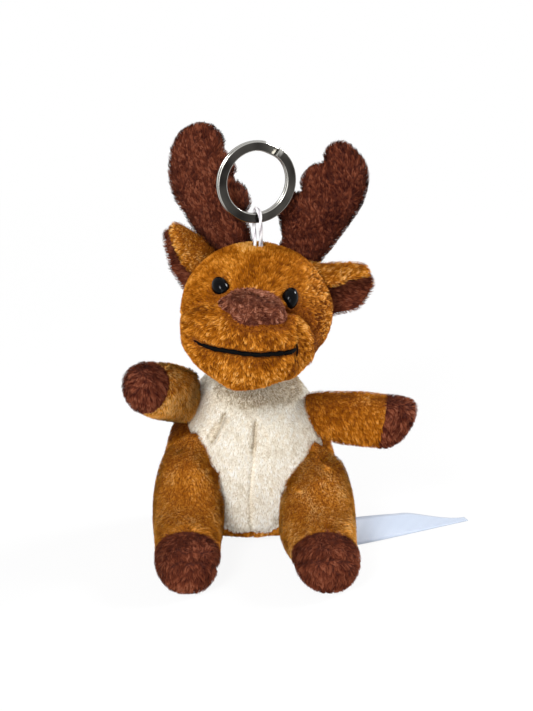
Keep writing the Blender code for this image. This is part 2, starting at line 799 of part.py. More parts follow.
def build_cord_and_ring(white, steel, cord_place):
    yaw = turned("Z", ring_yaw_degrees) @ turned("X", -ring_lean_degrees)
    cord_frame = add_frame("cord_base", cord_place, yaw)
    ring_depth = ring_turn_pitch + ring_turn_wall
    turn_radius = math.hypot(ring_band, ring_depth) / 2 + clearance + cord_wire / 2
    points = [(cord_spread / 2, 0.0, -cord_tail)]
    points.append((cord_spread / 2, 0.0, 0.0))
    points.append((cord_spread / 4, -turn_radius / 2, cord_rise * 0.45))
    for i in range(7):
        angle = math.pi * i / 6
        points.append(
            (
                0.0,
                -turn_radius * math.cos(angle),
                cord_rise + turn_radius * math.sin(angle),
            )
        )
    points.append((-cord_spread / 4, turn_radius / 2, cord_rise * 0.45))
    points.append((-cord_spread / 2, 0.0, 0.0))
    points.append((-cord_spread / 2, 0.0, -cord_tail))
    route = smooth_route(points, 3)
    length = sum((b - a).length for a, b in zip(route, route[1:]))
    print(f"cord length {length * 1000:.1f} mm")
    add_part("cord_loop", tube_mesh("cord_loop", route, cord_wire / 2, 2), white, cord_frame)

    loop_frame = add_frame("ring_hinge", (0, 0, cord_rise), Matrix.Identity(4), cord_frame)
    middle = ring_radius - ring_band / 2
    ring_frame = add_frame("ring_middle", (0, 0, middle), Matrix.Identity(4), loop_frame)
    count = round(ring_turns * ring_points_a_turn)
    bm = bmesh.new()
    sections = []
    for i in range(count + 1):
        t = i / count
        angle = 2 * math.pi * (ring_turns * t + ring_start_share)
        # the wire lies in one plane for each turn and steps across between them
        step = min(max((t - 0.5) * 9 + 0.5, 0.0), 1.0)
        depth = (step - 0.5) * ring_turn_pitch
        section = []
        for radial, deep in ((0, -1), (0, 1), (1, 1), (1, -1)):
            radius = ring_radius - ring_band * radial
            across = depth + deep * ring_turn_wall / 2
            place = (radius * math.sin(angle), across, radius * math.cos(angle))
            section.append(bm.verts.new(place))
        sections.append(section)
    for one, two in zip(sections, sections[1:]):
        for i in range(4):
            j = (i + 1) % 4
            bm.faces.new((one[i], one[j], two[j], two[i]))
    bm.faces.new(sections[0])
    bm.faces.new(sections[-1])
    add_part("split_ring", mesh_from(bm, "split_ring"), steel, ring_frame)
    print(f"split ring, least gap between its turns {(ring_turn_pitch - ring_turn_wall) * 1000:.2f} mm")


def build_label(satin):
    across, along = label_place_shares
    corner = (across * torso_half_width, along * torso_half_depth, clearance)
    frame = add_frame("label_seam", corner, Matrix.Identity(4))
    place = Vector((0.0, 0.0))
    near, far = [], []
    for i in range(label_steps + 1):
        t = i / label_steps
        for (t0, h0, w0), (t1, h1, w1) in zip(label_turn_shares, label_turn_shares[1:]):
            if t0 <= t <= t1:
                share = (t - t0) / (t1 - t0)
                heading = math.radians(h0 + (h1 - h0) * share)
                tilt = math.radians(w0 + (w1 - w0) * share)
        flat = math.cos(tilt)
        out = Vector((-math.sin(heading) * flat, math.cos(heading) * flat, math.sin(tilt)))
        edge = Vector((place.x, place.y, 0.0))
        near.append(edge)
        far.append(edge + out * label_width)
        place += Vector((math.cos(heading), math.sin(heading))) * (label_length / label_steps)
    bm = bmesh.new()
    low = [bm.verts.new(point) for point in near]
    high = [bm.verts.new(point) for point in far]
    for i in range(label_steps):
        bm.faces.new((low[i], low[i + 1], high[i + 1], high[i]))
    mesh = bpy.data.meshes.new("care_label")
    bm.to_mesh(mesh)
    bm.free()
    label = add_part("care_label", mesh, satin, frame)
    thick = label.modifiers.new("ribbon", "SOLIDIFY")
    thick.thickness = label_wall
    thick.offset = 1.0


clear_scene()
parts = new_collection("plush_deer")
cutters = new_collection("cutters")

caramel_fur = material("caramel_fur", (0.47, 0.21, 0.05), 0.95)
brown_fur = material("brown_fur", (0.12, 0.035, 0.02), 0.95)
cream_fur = material("cream_fur", (0.72, 0.63, 0.48), 0.95)
black_thread = material("black_thread", (0.01, 0.01, 0.012), 0.5)
black_plastic = material("black_plastic", (0.008, 0.008, 0.009), 0.1)
white_filling = material("white_filling", (0.85, 0.85, 0.83), 1.0)
white_cord = material("white_cord", (0.85, 0.84, 0.82), 0.7)
dark_nickel = material("dark_nickel", (0.35, 0.34, 0.32), 0.2, 1.0)
white_satin = material("white_satin", (0.75, 0.80, 0.88), 0.5)

torso_clear, floor_cut = build_torso(caramel_fur, cream_fur, white_filling)
head_turn = turned("Y", head_roll_degrees) @ turned("Z", head_yaw_degrees)
head_place = Vector((head_shift_share * head_half_width, 0.0, head_rise_share * head_half_height))
head_place.z += neck_place().z
head_frame = add_frame("head_middle", head_place, head_turn)
crown = build_head(head_frame, caramel_fur, brown_fur, black_thread, black_plastic, white_filling)
head_clear = head_form("head_clear", head_segments, 1, -limb_clearance)
head_clear = add_cutter("head_clear", head_clear, head_frame)
ear_clear = add_cutter("ear_clear", head_form("ear_clear", head_segments, 1, -ear_gap), head_frame)
for arm_name in arm_place_shares:
    build_arm(arm_name, caramel_fur, brown_fur, white_filling)
for leg_name in leg_place_shares:
    build_leg(leg_name, caramel_fur, brown_fur, white_filling, torso_clear, floor_cut)
for antler_name in antler_place_shares:
    build_antler(antler_name, brown_fur, white_filling, head_frame, head_clear)
for ear_name in ear_place_shares:
    build_ear(ear_name, caramel_fur, brown_fur, head_frame, ear_clear)
build_cord_and_ring(white_cord, dark_nickel, crown)
build_label(white_satin)
bpy.context.view_layer.update()
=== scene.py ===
import math

import bmesh
import bpy
import numpy as np
from mathutils import Matrix, Vector, noise
from mathutils.bvhtree import BVHTree
from mathutils.kdtree import KDTree


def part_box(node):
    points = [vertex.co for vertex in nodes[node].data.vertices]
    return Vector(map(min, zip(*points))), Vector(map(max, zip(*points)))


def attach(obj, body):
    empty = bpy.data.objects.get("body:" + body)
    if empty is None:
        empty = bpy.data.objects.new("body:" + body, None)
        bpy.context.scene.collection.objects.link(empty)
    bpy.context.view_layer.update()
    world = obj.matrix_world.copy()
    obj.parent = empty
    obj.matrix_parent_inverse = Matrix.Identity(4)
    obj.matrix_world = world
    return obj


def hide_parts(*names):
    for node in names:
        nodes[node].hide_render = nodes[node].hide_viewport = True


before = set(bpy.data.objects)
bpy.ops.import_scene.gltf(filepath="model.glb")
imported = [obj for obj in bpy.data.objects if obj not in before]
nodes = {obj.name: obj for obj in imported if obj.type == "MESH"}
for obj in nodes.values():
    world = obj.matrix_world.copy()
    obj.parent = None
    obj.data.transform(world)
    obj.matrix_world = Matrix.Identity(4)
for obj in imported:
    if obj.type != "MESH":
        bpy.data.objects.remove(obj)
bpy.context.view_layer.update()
bpy.ops.object.select_all(action="DESELECT")
noise.seed_set(7)  # unseeded, the noise is another one in each run


# Camera, at the photograph's angle and distance
camera = dict(
    elevation=20.0, distance=0.700, target=(0.00323, 0.0, 0.05763),
    focalPixels=2275.0, pictureWide=533, pictureHigh=711, sensor=36.0,
)


def buildCamera():
    tilt = math.radians(camera["elevation"])
    forward = Vector((0, math.cos(tilt), -math.sin(tilt)))
    place = Vector(camera["target"]) - forward * camera["distance"]
    bpy.ops.object.camera_add(location=place, rotation=(math.pi / 2 - tilt, 0, 0))
    made = bpy.context.object
    made.name = "photoCamera"
    made.data.sensor_fit = "VERTICAL"
    made.data.sensor_width = made.data.sensor_height = camera["sensor"]
    made.data.lens = camera["sensor"] * camera["focalPixels"] / camera["pictureHigh"]
    made.data.clip_start = 0.01
    bpy.context.scene.camera = made
    return place, forward


cameraPlace, cameraForward = buildCamera()
cameraRight = Vector((1, 0, 0))
cameraUp = cameraRight.cross(cameraForward)
ahead = np.array(cameraForward)
print("camera set")


# The way from the camera through a pixel of the photograph
def wayThrough(px, py):
    across = (px - camera["pictureWide"] / 2) / camera["focalPixels"]
    down = (py - camera["pictureHigh"] / 2) / camera["focalPixels"]
    return cameraForward + cameraRight * across - cameraUp * down


# The point of a piece that the camera sees at a pixel
def seenAt(tree, px, py):
    return tree.ray_cast(cameraPlace, wayThrough(px, py))[0]


def seenLine(tree, pixels):
    return [place for place in (seenAt(tree, *pixel) for pixel in pixels) if place]


# Where points show in the photograph, in its pixels
def pixelsOf(points):
    away = np.asarray(points) - np.array(cameraPlace)
    depth, high = away @ ahead, away @ np.array(cameraUp)
    return np.stack([camera["pictureWide"] / 2 + camera["focalPixels"] * away[:, 0] / depth,
                     camera["pictureHigh"] / 2 - camera["focalPixels"] * high / depth], 1)


# The point that shows at a pixel and lies on a plane
def placeOn(px, py, middle, normal):
    way = wayThrough(px, py)
    reach = (Vector(middle) - cameraPlace).dot(Vector(normal)) / way.dot(Vector(normal))
    return cameraPlace + way * reach


def depthAt(px, py, depth):
    return placeOn(px, py, (0, depth, 0), (0, 1, 0))


# How far points lie from the straight line between two others
def fromSpan(points, a, b):
    share = np.clip(((points - a) @ (b - a)) / max((b - a) @ (b - a), 1e-18), 0, 1)
    return np.linalg.norm(points - a - share[:, None] * (b - a), axis=1)


# How far inside a closed outline flat points lie, in its own units, below 0 outside it
def insideBy(flat, outline):
    outline = np.array(outline, float)
    inside, away = np.zeros(len(flat), bool), np.full(len(flat), 1e9)
    for a, b in zip(outline, np.roll(outline, -1, axis=0)):
        if a[1] != b[1]:
            across = a[0] + (flat[:, 1] - a[1]) / (b[1] - a[1]) * (b[0] - a[0])
            inside ^= ((a[1] > flat[:, 1]) != (b[1] > flat[:, 1])) & (flat[:, 0] < across)
        away = np.minimum(away, fromSpan(flat, a, b))
    return np.where(inside, away, -away)


# The same for points in space, seen from the camera, in metres
def insideOutline(points, outline):
    pixelsPerMetre = camera["focalPixels"] / camera["distance"]
    return insideBy(pixelsOf(points), outline) / pixelsPerMetre


# From 0 below a to 1 above b
def rise(values, a, b):
    share = np.clip((values - a) / (b - a), 0, 1)
    return share * share * (3 - 2 * share)


# Small tools for every piece

def activate(piece):
    bpy.ops.object.select_all(action="DESELECT")
    piece.select_set(True)
    bpy.context.view_layer.objects.active = piece


def applyAll(piece):
    activate(piece)
    for step in list(piece.modifiers):
        bpy.ops.object.modifier_apply(modifier=step.name)


def settle(piece):
    activate(piece)
    bpy.ops.object.transform_apply(location=True, rotation=True, scale=True)


def pieceFrom(name, corners, faces):
    mesh = bpy.data.meshes.new(name)
    mesh.from_pydata(corners, [], faces)
    mesh.update()
    piece = bpy.data.objects.new(name, mesh)
    bpy.context.scene.collection.objects.link(piece)
    return piece


def shadeSmooth(piece):
    piece.data.polygons.foreach_set("use_smooth", np.ones(len(piece.data.polygons), bool))


# Runs steps of bmesh on a piece's mesh
def rework(piece, *steps):
    bm = bmesh.new()
    bm.from_mesh(piece.data)
    for step in steps:
        step(bm)
    bm.to_mesh(piece.data)
    bm.free()


def mergeDoubles(bm):
    bmesh.ops.remove_doubles(bm, verts=bm.verts, dist=1e-7)


def faceOutwards(bm):
    bmesh.ops.recalc_face_normals(bm, faces=bm.faces)


def cornersOf(piece):
    places = np.empty(len(piece.data.vertices) * 3, np.float32)
    piece.data.vertices.foreach_get("co", places)
    return places.reshape(-1, 3).astype(float)


def normalsOf(piece):
    ways = np.empty(len(piece.data.vertices) * 3, np.float32)
    piece.data.vertex_normals.foreach_get("vector", ways)
    return ways.reshape(-1, 3).astype(float)


def moveCorners(piece, places):
    piece.data.vertices.foreach_set("co", places.astype(np.float32).ravel())
    piece.data.update()


def unit(ways):
    return ways / np.maximum(np.linalg.norm(ways, axis=-1, keepdims=True), 1e-12)


# The corners and faces of some meshes, as one
def gathered(meshes):
    corners, faces = [], []
    for mesh in meshes:
        start = len(corners)
        corners += [v.co.copy() for v in mesh.vertices]
        faces += [[start + i for i in p.vertices] for p in mesh.polygons]
    return corners, faces


def treeOf(*names):
    return BVHTree.FromPolygons(*gathered([nodes[name].data for name in names]))


def treeOfPiece(piece):
    return BVHTree.FromPolygons(*gathered([piece.data]))


def nearestOf(points):
    tree = KDTree(len(points))
    for i, point in enumerate(points):
        tree.insert(point, i)
    tree.balance()
    return tree


# How far each point lies from a tree, up to a most
def distances(tree, points, most=0.01):
    found = np.full(len(points), most)
    for i, point in enumerate(points):
        near = tree.find_nearest(point, most)
        if near[0] is not None:
            found[i] = near[3]
    return found


# How far each point lies from a line of points
def fromLine(points, line):
    best = np.full(len(points), 1.0)
    for a, b in zip(line, line[1:]):
        best = np.minimum(best, fromSpan(points, np.array(a), np.array(b)))
    return best


# Smooth noise in metres of a size, another one for each seed
def waves(points, size, seed):
    shift = Vector((seed * 7.13, seed * 3.71, seed * 1.37))
    return np.array([noise.noise_vector(Vector(p) / size + shift)[:] for p in points])


# Points on a smooth curve through the given ones
def smoothRoute(points, steps):
    points = [Vector(p) for p in points]
    ends = [2 * points[0] - points[1], *points, 2 * points[-1] - points[-2]]
    route = []
    for a, b, c, d in zip(ends, ends[1:], ends[2:], ends[3:]):
        for step in range(steps):
            t = step / steps
            route.append(0.5 * (2 * b + (c - a) * t + (2 * a - 5 * b + 4 * c - d) * t**2
                                + (3 * b - a - 3 * c + d) * t**3))
    return [*route, points[-1]]


def addAttribute(piece, name, values):
    made = piece.data.attributes.new(name, "FLOAT", "POINT")
    made.data.foreach_set("value", values.astype(np.float32))


# Materials. Each starts from one Principled shader, whose plain numbers sit on its own sockets.
def newMaterial(name, **sockets):
    made = bpy.data.materials.new(name)
    made.use_nodes = True
    shader = made.node_tree.nodes["Principled BSDF"]
    for key, value in sockets.items():
        shader.inputs[key.replace("_", " ")].default_value = value
    return made, made.node_tree, shader


def addNode(tree, kind, **values):
    made = tree.nodes.new(kind)
    for key, value in values.items():
        if key in made.inputs:
            made.inputs[key].default_value = value
        else:
            setattr(made, key, value)
    return made


def readAttribute(tree, name):
    return addNode(tree, "ShaderNodeAttribute", attribute_name=name).outputs["Fac"]


def objectNoise(tree, scale, detail=2.0):
    place = tree.nodes.new("ShaderNodeTexCoord").outputs["Object"]
    made = addNode(tree, "ShaderNodeTexNoise", Scale=scale, Detail=detail)
    tree.links.new(place, made.inputs["Vector"])
    return made.outputs["Fac"]


def combine(tree, operation, a, b):
    made = addNode(tree, "ShaderNodeMath", operation=operation)
    for socket, value in zip(made.inputs, (a, b)):
        if isinstance(value, (int, float)):
            socket.default_value = value
        else:
            tree.links.new(value, socket)
    return made.outputs[0]


# A base colour that runs through the stops as the value grows
def paint(tree, shader, value, stops):
    made = tree.nodes.new("ShaderNodeValToRGB")
    elements = made.color_ramp.elements
    for element, (place, colour) in ((elements[1], stops[-1]), (elements[0], stops[0])):
        element.position = place
        element.color = (*colour, 1.0)
    for place, colour in stops[1:-1]:
        elements.new(place).color = (*colour, 1.0)
    tree.links.new(value, made.inputs["Fac"])
    tree.links.new(made.outputs["Color"], shader.inputs["Base Color"])


def roughen(tree, shader, height, low, high):
    made = addNode(tree, "ShaderNodeMapRange", **{"To Min": low, "To Max": high})
    tree.links.new(height, made.inputs["Value"])
    tree.links.new(made.outputs[0], shader.inputs["Roughness"])


def bump(tree, shader, height, strength, distance):
    made = addNode(tree, "ShaderNodeBump", Strength=strength, Distance=distance)
    tree.links.new(height, made.inputs["Height"])
    tree.links.new(made.outputs["Normal"], shader.inputs["Normal"])


pileShade = dict(
    patchScale=150.0, patchDetail=3.0, patch=0.8, tip=0.40, tone=0.60, base=0.10, span=0.40,
    stops=(0.0, 0.2, 0.384, 0.52, 0.6, 0.76, 1.0),
)


# The pile: darker at its root, lighter at its tip, each tuft a little different
def pileMaterial(name, dark, middle, light, pale, sheen, deep=None, frostAndHighlight=None):
    v = pileShade
    made, tree, shader = newMaterial(
        name, Roughness=0.7, Specular_IOR_Level=0.03, Sheen_Weight=sheen, Sheen_Roughness=0.35,
    )
    shader.inputs["Sheen Tint"].default_value = (*light, 1.0)
    patch = combine(tree, "MULTIPLY", objectNoise(tree, v["patchScale"], v["patchDetail"]), v["patch"])
    tip = combine(tree, "MULTIPLY", readAttribute(tree, "tip"), v["tip"])
    tone = combine(tree, "MULTIPLY", readAttribute(tree, "tone"), v["tone"])
    share = combine(tree, "ADD", combine(tree, "ADD", tip, tone), patch)
    share = combine(tree, "MULTIPLY", combine(tree, "ADD", share, v["base"]), v["span"])
    # the lowest stop is a painted shadow colour and the top one partly a painted highlight, reached where
    # lines push the tone out of range
    colours = (deep or dark, dark, middle, light, pale, pale, frostAndHighlight or pale)
    paint(tree, shader, share, list(zip(v["stops"], colours)))
    # a strand is shaded as the cloth below it, on both of its sides
    shade = addNode(tree, "ShaderNodeAttribute", attribute_name="shade").outputs["Vector"]
    turn = addNode(tree, "ShaderNodeVectorTransform", vector_type="NORMAL", convert_from="OBJECT",
                   convert_to="WORLD")
    tree.links.new(shade, turn.inputs[0])
    tree.links.new(turn.outputs[0], shader.inputs["Normal"])
    return made


# The knitted backing under the pile
def backingMaterial(name, dark, middle):
    made, tree, shader = newMaterial(name, Roughness=0.9, Specular_IOR_Level=0.2)
    grain = objectNoise(tree, 2600.0, 3.0)
    paint(tree, shader, grain, [(0.3, dark), (0.75, middle)])
    bump(tree, shader, grain, 0.6, 0.0003)
    return made


pileColours = dict(
    # frost: pale strand tips, and the painted highlight across the crown
    caramel=dict(dark=(0.085, 0.018, 0.001), middle=(0.36, 0.102, 0.004), light=(0.72, 0.275, 0.030),
                 pale=(0.84, 0.45, 0.13), sheen=0.05, frostAndHighlight=(1.0, 0.88, 0.68)),
    brown=dict(dark=(0.020, 0.004, 0.003), middle=(0.108, 0.024, 0.011), light=(0.23, 0.064, 0.030),
               pale=(0.28, 0.09, 0.048), sheen=0.05),
    nose=dict(dark=(0.040, 0.009, 0.005), middle=(0.20, 0.058, 0.028), light=(0.40, 0.15, 0.085),
              pale=(0.50, 0.23, 0.15), sheen=0.10),
    # deep: the painted shadow under the chin and in the creases
    cream=dict(dark=(0.48, 0.38, 0.25), middle=(0.94, 0.88, 0.75), light=(0.98, 0.96, 0.89),
               pale=(1.0, 0.99, 0.95), sheen=0.08, deep=(0.27, 0.165, 0.080)),
)
pileMaterials, backings = {}, {}
for key, look in pileColours.items():
    pileMaterials[key] = pileMaterial(f"{key}Pile", **look)
    backings[key] = backingMaterial(f"{key}Backing", look["dark"], look["middle"])
print("materials made")


# Cord loop and split ring. The cord's route repeats the source's points.
ringFrame = Matrix.Rotation(math.radians(21.0), 4, "Z") @ Matrix.Rotation(math.radians(-4.0), 4, "X")
cordValues = dict(
    place=(0.00062, 0.00041, 0.09341), wire=0.0013, tail=0.0034, rise=0.0081, spread=0.00195,
    gap=0.0003, waist=0.45, arc=6, length=0.0329, plies=2, twist=1100.0, ply=0.16, sides=16, steps=8,
)
ringValues = dict(
    radius=0.0125, band=0.0029, wall=0.0009, pitch=0.00135, turns=1.94, start=0.107, steps=160,
    edge=0.00034, edgeFade=0.41, endHighlight=0.8, crossing=0.026, crossingHighlight=0.08, drawnIn=0.0005,
    streakScale=120.0, reflectionStreaks=0.34, wearScale=900.0, grainScale=2200.0,
)


# The faces of closed tubes whose rings of corners follow each other
def tubeFaces(first, rings, sides):
    last = first + (rings - 1) * sides
    faces = [(ring + j, ring + (j + 1) % sides, ring + sides + (j + 1) % sides, ring + sides + j)
             for ring in range(first, last, sides) for j in range(sides)]
    return [*faces, tuple(reversed(range(first, first + sides))), tuple(range(last, last + sides))]


def cordRoute(v):
    reach = math.hypot(ringValues["band"], ringValues["pitch"] + ringValues["wall"]) / 2
    reach += v["gap"] + v["wire"] / 2
    half, waist = v["spread"] / 2, v["rise"] * v["waist"]
    points = [(half, 0, -v["tail"]), (half, 0, 0), (half / 2, -reach / 2, waist)]
    for i in range(v["arc"] + 1):
        angle = math.pi * i / v["arc"]
        points.append((0, -reach * math.cos(angle), v["rise"] + reach * math.sin(angle)))
    points += [(-half / 2, reach / 2, waist), (-half, 0, 0), (-half, 0, -v["tail"])]
    place = Matrix.Translation(Vector(v["place"])) @ ringFrame
    return [place @ p for p in smoothRoute(points, v["steps"])]


def buildCord(v):
    route = cordRoute(v)
    corners, lobes, run = [], [], 0.0
    side = Vector((0, 1, 0))
    for i, here in enumerate(route):
        before, after = route[max(i - 1, 0)], route[min(i + 1, len(route) - 1)]
        along = (after - before).normalized()
        side = (side - side.dot(along) * along).normalized()
        other = along.cross(side)
        run += (here - before).length if i else 0.0
        for j in range(v["sides"]):
            angle = 2 * math.pi * j / v["sides"]
            lobe = math.cos(v["plies"] * angle - v["twist"] * run)
            radius = v["wire"] / 2 * (1 - v["ply"] + v["ply"] * lobe)
            corners.append(here + (side * math.cos(angle) + other * math.sin(angle)) * radius)
            lobes.append(lobe)
    piece = pieceFrom("cordLoop", corners, tubeFaces(0, len(route), v["sides"]))
    shadeSmooth(piece)
    addAttribute(piece, "ply", np.array(lobes))
    made, tree, shader = newMaterial("whiteCord", Roughness=0.3, Specular_IOR_Level=0.6)
    grain = objectNoise(tree, 3500.0)
    share = combine(tree, "ADD", combine(tree, "MULTIPLY", readAttribute(tree, "ply"), 0.4), grain)
    # the white cord is painted darker towards the grooves between its two plies: painted shade
    paint(tree, shader, share, [
        (0.1, (0.36, 0.33, 0.36)), (0.5, (0.80, 0.78, 0.80)), (0.9, (0.97, 0.96, 0.96)),
    ])
    bump(tree, shader, grain, 0.35, 0.0002)
    piece.data.materials.append(made)
    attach(piece, "cord")
    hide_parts("cord_loop")


def buildRing(v):
    # the flat wire's section at the top of the ring, spun about the ring's middle
    bpy.ops.mesh.primitive_plane_add(size=1.0, location=(0, 0, v["radius"] - v["band"] / 2),
                                     rotation=(0, math.pi / 2, 0))
    piece = bpy.context.object
    piece.name = piece.data.name = "splitRing"
    piece.scale = (v["band"], v["wall"], 1)
    settle(piece)
    bpy.ops.object.mode_set(mode="EDIT")
    bpy.ops.mesh.select_all(action="SELECT")
    bpy.ops.mesh.bevel(offset=v["edge"], segments=3, affect="VERTICES")
    bpy.ops.mesh.select_all(action="SELECT")
    bpy.ops.mesh.spin(steps=v["steps"], angle=-2 * math.pi * v["turns"], center=(0, 0, 0), axis=(0, 1, 0))
    bpy.ops.object.mode_set(mode="OBJECT")
    places = cornersOf(piece)
    count = len(places) // (v["steps"] + 1)
    turn = np.arange(len(places)) // count / v["steps"]
    middle = v["radius"] - v["band"] / 2
    spread = np.abs(np.hypot(places[:, 0], places[:, 2]) - middle) + np.abs(places[:, 1])
    # The rounded edges, the cut ends and the crossing are painted lighter than the flat faces: painted
    # highlights.
    sharp = (spread - (v["band"] + v["wall"]) / 2 + v["edge"]) / (v["edgeFade"] * v["edge"])
    ends = v["endHighlight"] * ((turn < 0.001) | (turn > 0.999))
    # between its two turns the wire crosses over beside its ends, a little drawn in
    crossing = np.exp(-((turn - 0.5) / v["crossing"]) ** 2)
    highlights = np.maximum(np.maximum(sharp, ends), v["crossingHighlight"] * crossing)
    addAttribute(piece, "edge", np.clip(highlights, 0, 1))
    step = rise(turn, 0.5 - v["crossing"], 0.5 + v["crossing"])
    places[:, 1] += (step - 0.5) * v["pitch"]
    places[:, [0, 2]] *= 1 - (v["drawnIn"] * crossing / np.hypot(places[:, 0], places[:, 2]))[:, None]
    start = Matrix.Rotation(2 * math.pi * v["start"], 4, "Y")
    middle = cordValues["rise"] + v["radius"] - v["band"] / 2
    place = Matrix.Translation(Vector(cordValues["place"])) @ ringFrame @ Matrix.Translation((0, 0, middle))
    place = np.array(place @ start)
    moveCorners(piece, places @ place[:3, :3].T + place[:3, 3])
    rework(piece, mergeDoubles, lambda bm: bmesh.ops.holes_fill(bm, edges=bm.edges), faceOutwards)
    activate(piece)
    bpy.ops.object.shade_smooth_by_angle(angle=math.radians(50))
    made, tree, shader = newMaterial("darkNickel", Metallic=1.0)
    # noise streaks around the ring: painted reflections
    reflectionStreaks = combine(tree, "MULTIPLY", objectNoise(tree, v["streakScale"], 1.0), v["reflectionStreaks"])
    share = combine(tree, "ADD", readAttribute(tree, "edge"), reflectionStreaks)
    paint(tree, shader, share, [
        (0.12, (0.022, 0.020, 0.018)), (0.22, (0.075, 0.070, 0.062)), (0.9, (0.46, 0.45, 0.42)),
    ])
    roughen(tree, shader, objectNoise(tree, v["wearScale"], 4.0), 0.10, 0.26)
    bump(tree, shader, objectNoise(tree, v["grainScale"], 2.0), 0.08, 0.0002)
    piece.data.materials.append(made)
    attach(piece, "ring")
    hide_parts("split_ring")


buildCord(cordValues)
buildRing(ringValues)
print("cord and ring made")


# Stuffed pads. Each starts as a copy of its skins and filling, or as a form of its own, remeshed to one
# closed body.
def padFrom(name, forms, voxel, inset, rounds):
    piece = pieceFrom(name, *gathered(forms))
    rework(piece, mergeDoubles)
    remesh = piece.modifiers.new("remesh", "REMESH")
    remesh.mode = "VOXEL"
    remesh.voxel_size = voxel
    applyAll(piece)
    rework(piece, keepLargest)
    smooth = piece.modifiers.new("smooth", "SMOOTH")
    smooth.factor, smooth.iterations = 0.5, rounds
    applyAll(piece)
    moveCorners(piece, cornersOf(piece) - normalsOf(piece) * inset)
    shadeSmooth(piece)
    return piece


# Drops the small hollows that a remesh leaves inside
def keepLargest(bm):
    seen, groups = set(), []
    for first in bm.verts:
        if first.index in seen:
            continue
        seen.add(first.index)
        group, queue = [], [first]
        while queue:
            corner = queue.pop()
            group.append(corner)
            for edge in corner.link_edges:
                other = edge.other_vert(corner)
                if other.index not in seen:
                    seen.add(other.index)
                    queue.append(other)
        groups.append(group)
    groups.sort(key=len)
    bmesh.ops.delete(bm, geom=[v for group in groups[:-1] for v in group], context="VERTS")


skinReach = 0.006  # no skin is looked for further away


# Which skin of the frame lies nearest to each point, and how far the next nearest is
def nearestSkins(points, skins):
    table = np.stack([distances(treeOf(skin), points, skinReach) for skin in skins])
    order = np.sort(table, axis=0)
    seam = order[1] if len(skins) > 1 else np.full(len(points), skinReach)
    return table.argmin(0), seam


pile = dict(
    perSquareMm=14.0, caramelLength=0.00135, brownLength=0.0018, noseLength=0.0013, creamLength=0.0010,
    width=0.00014, tuft=9, voxel=0.0007, inset=0.0006, mostInPiece=62000, clearOfFloor=0.0001,
)
# How a strand lies. Of two numbers the first holds everywhere and the second grows with the curl,
# and under random two numbers are the least and the most.
strand = dict(
    wave=0.0055, waveShare=(0.25, 0.9), ripple=0.0015, rippleShare=(0.2, 1.1), stray=0.16,
    lean=(0.85, 0.75), bend=0.6, tipBend=1.5, tipRise=0.7, pull=(0.18, 0.50), middlePull=0.35, taper=0.8,
    cloth=0.55, upright=0.45, glint=0.13, own=0.4, shared=0.6, contrast=(1.05, 1.5),
    patch=0.0034, fleck=0.0017, fleckShare=0.6,
    random=dict(length=(0.75, 1.15), lean=(0.75, 1.25), pull=(0.5, 1.2), turn=(-0.6, 0.6), width=(0.7, 1.3)),
)


# Random places all over a pad, each with its triangle and its share of the triangle's corners
def scatter(piece, perSquareMm, rng):
    mesh = piece.data
    mesh.calc_loop_triangles()
    triangles = np.array([t.vertices[:] for t in mesh.loop_triangles])
    faces = np.array([t.polygon_index for t in mesh.loop_triangles])
    corners = cornersOf(piece)
    a, b, c = (corners[triangles[:, i]] for i in range(3))
    area = np.linalg.norm(np.cross(b - a, c - a), axis=1) / 2
    count = int(area.sum() * 1e6 * perSquareMm)
    picked = rng.choice(len(triangles), count, p=area / area.sum())
    u, v = rng.random(count), rng.random(count)
    flip = u + v > 1
    u[flip], v[flip] = 1 - u[flip], 1 - v[flip]
    return triangles[picked], np.stack([1 - u - v, u, v], 1), faces[picked]


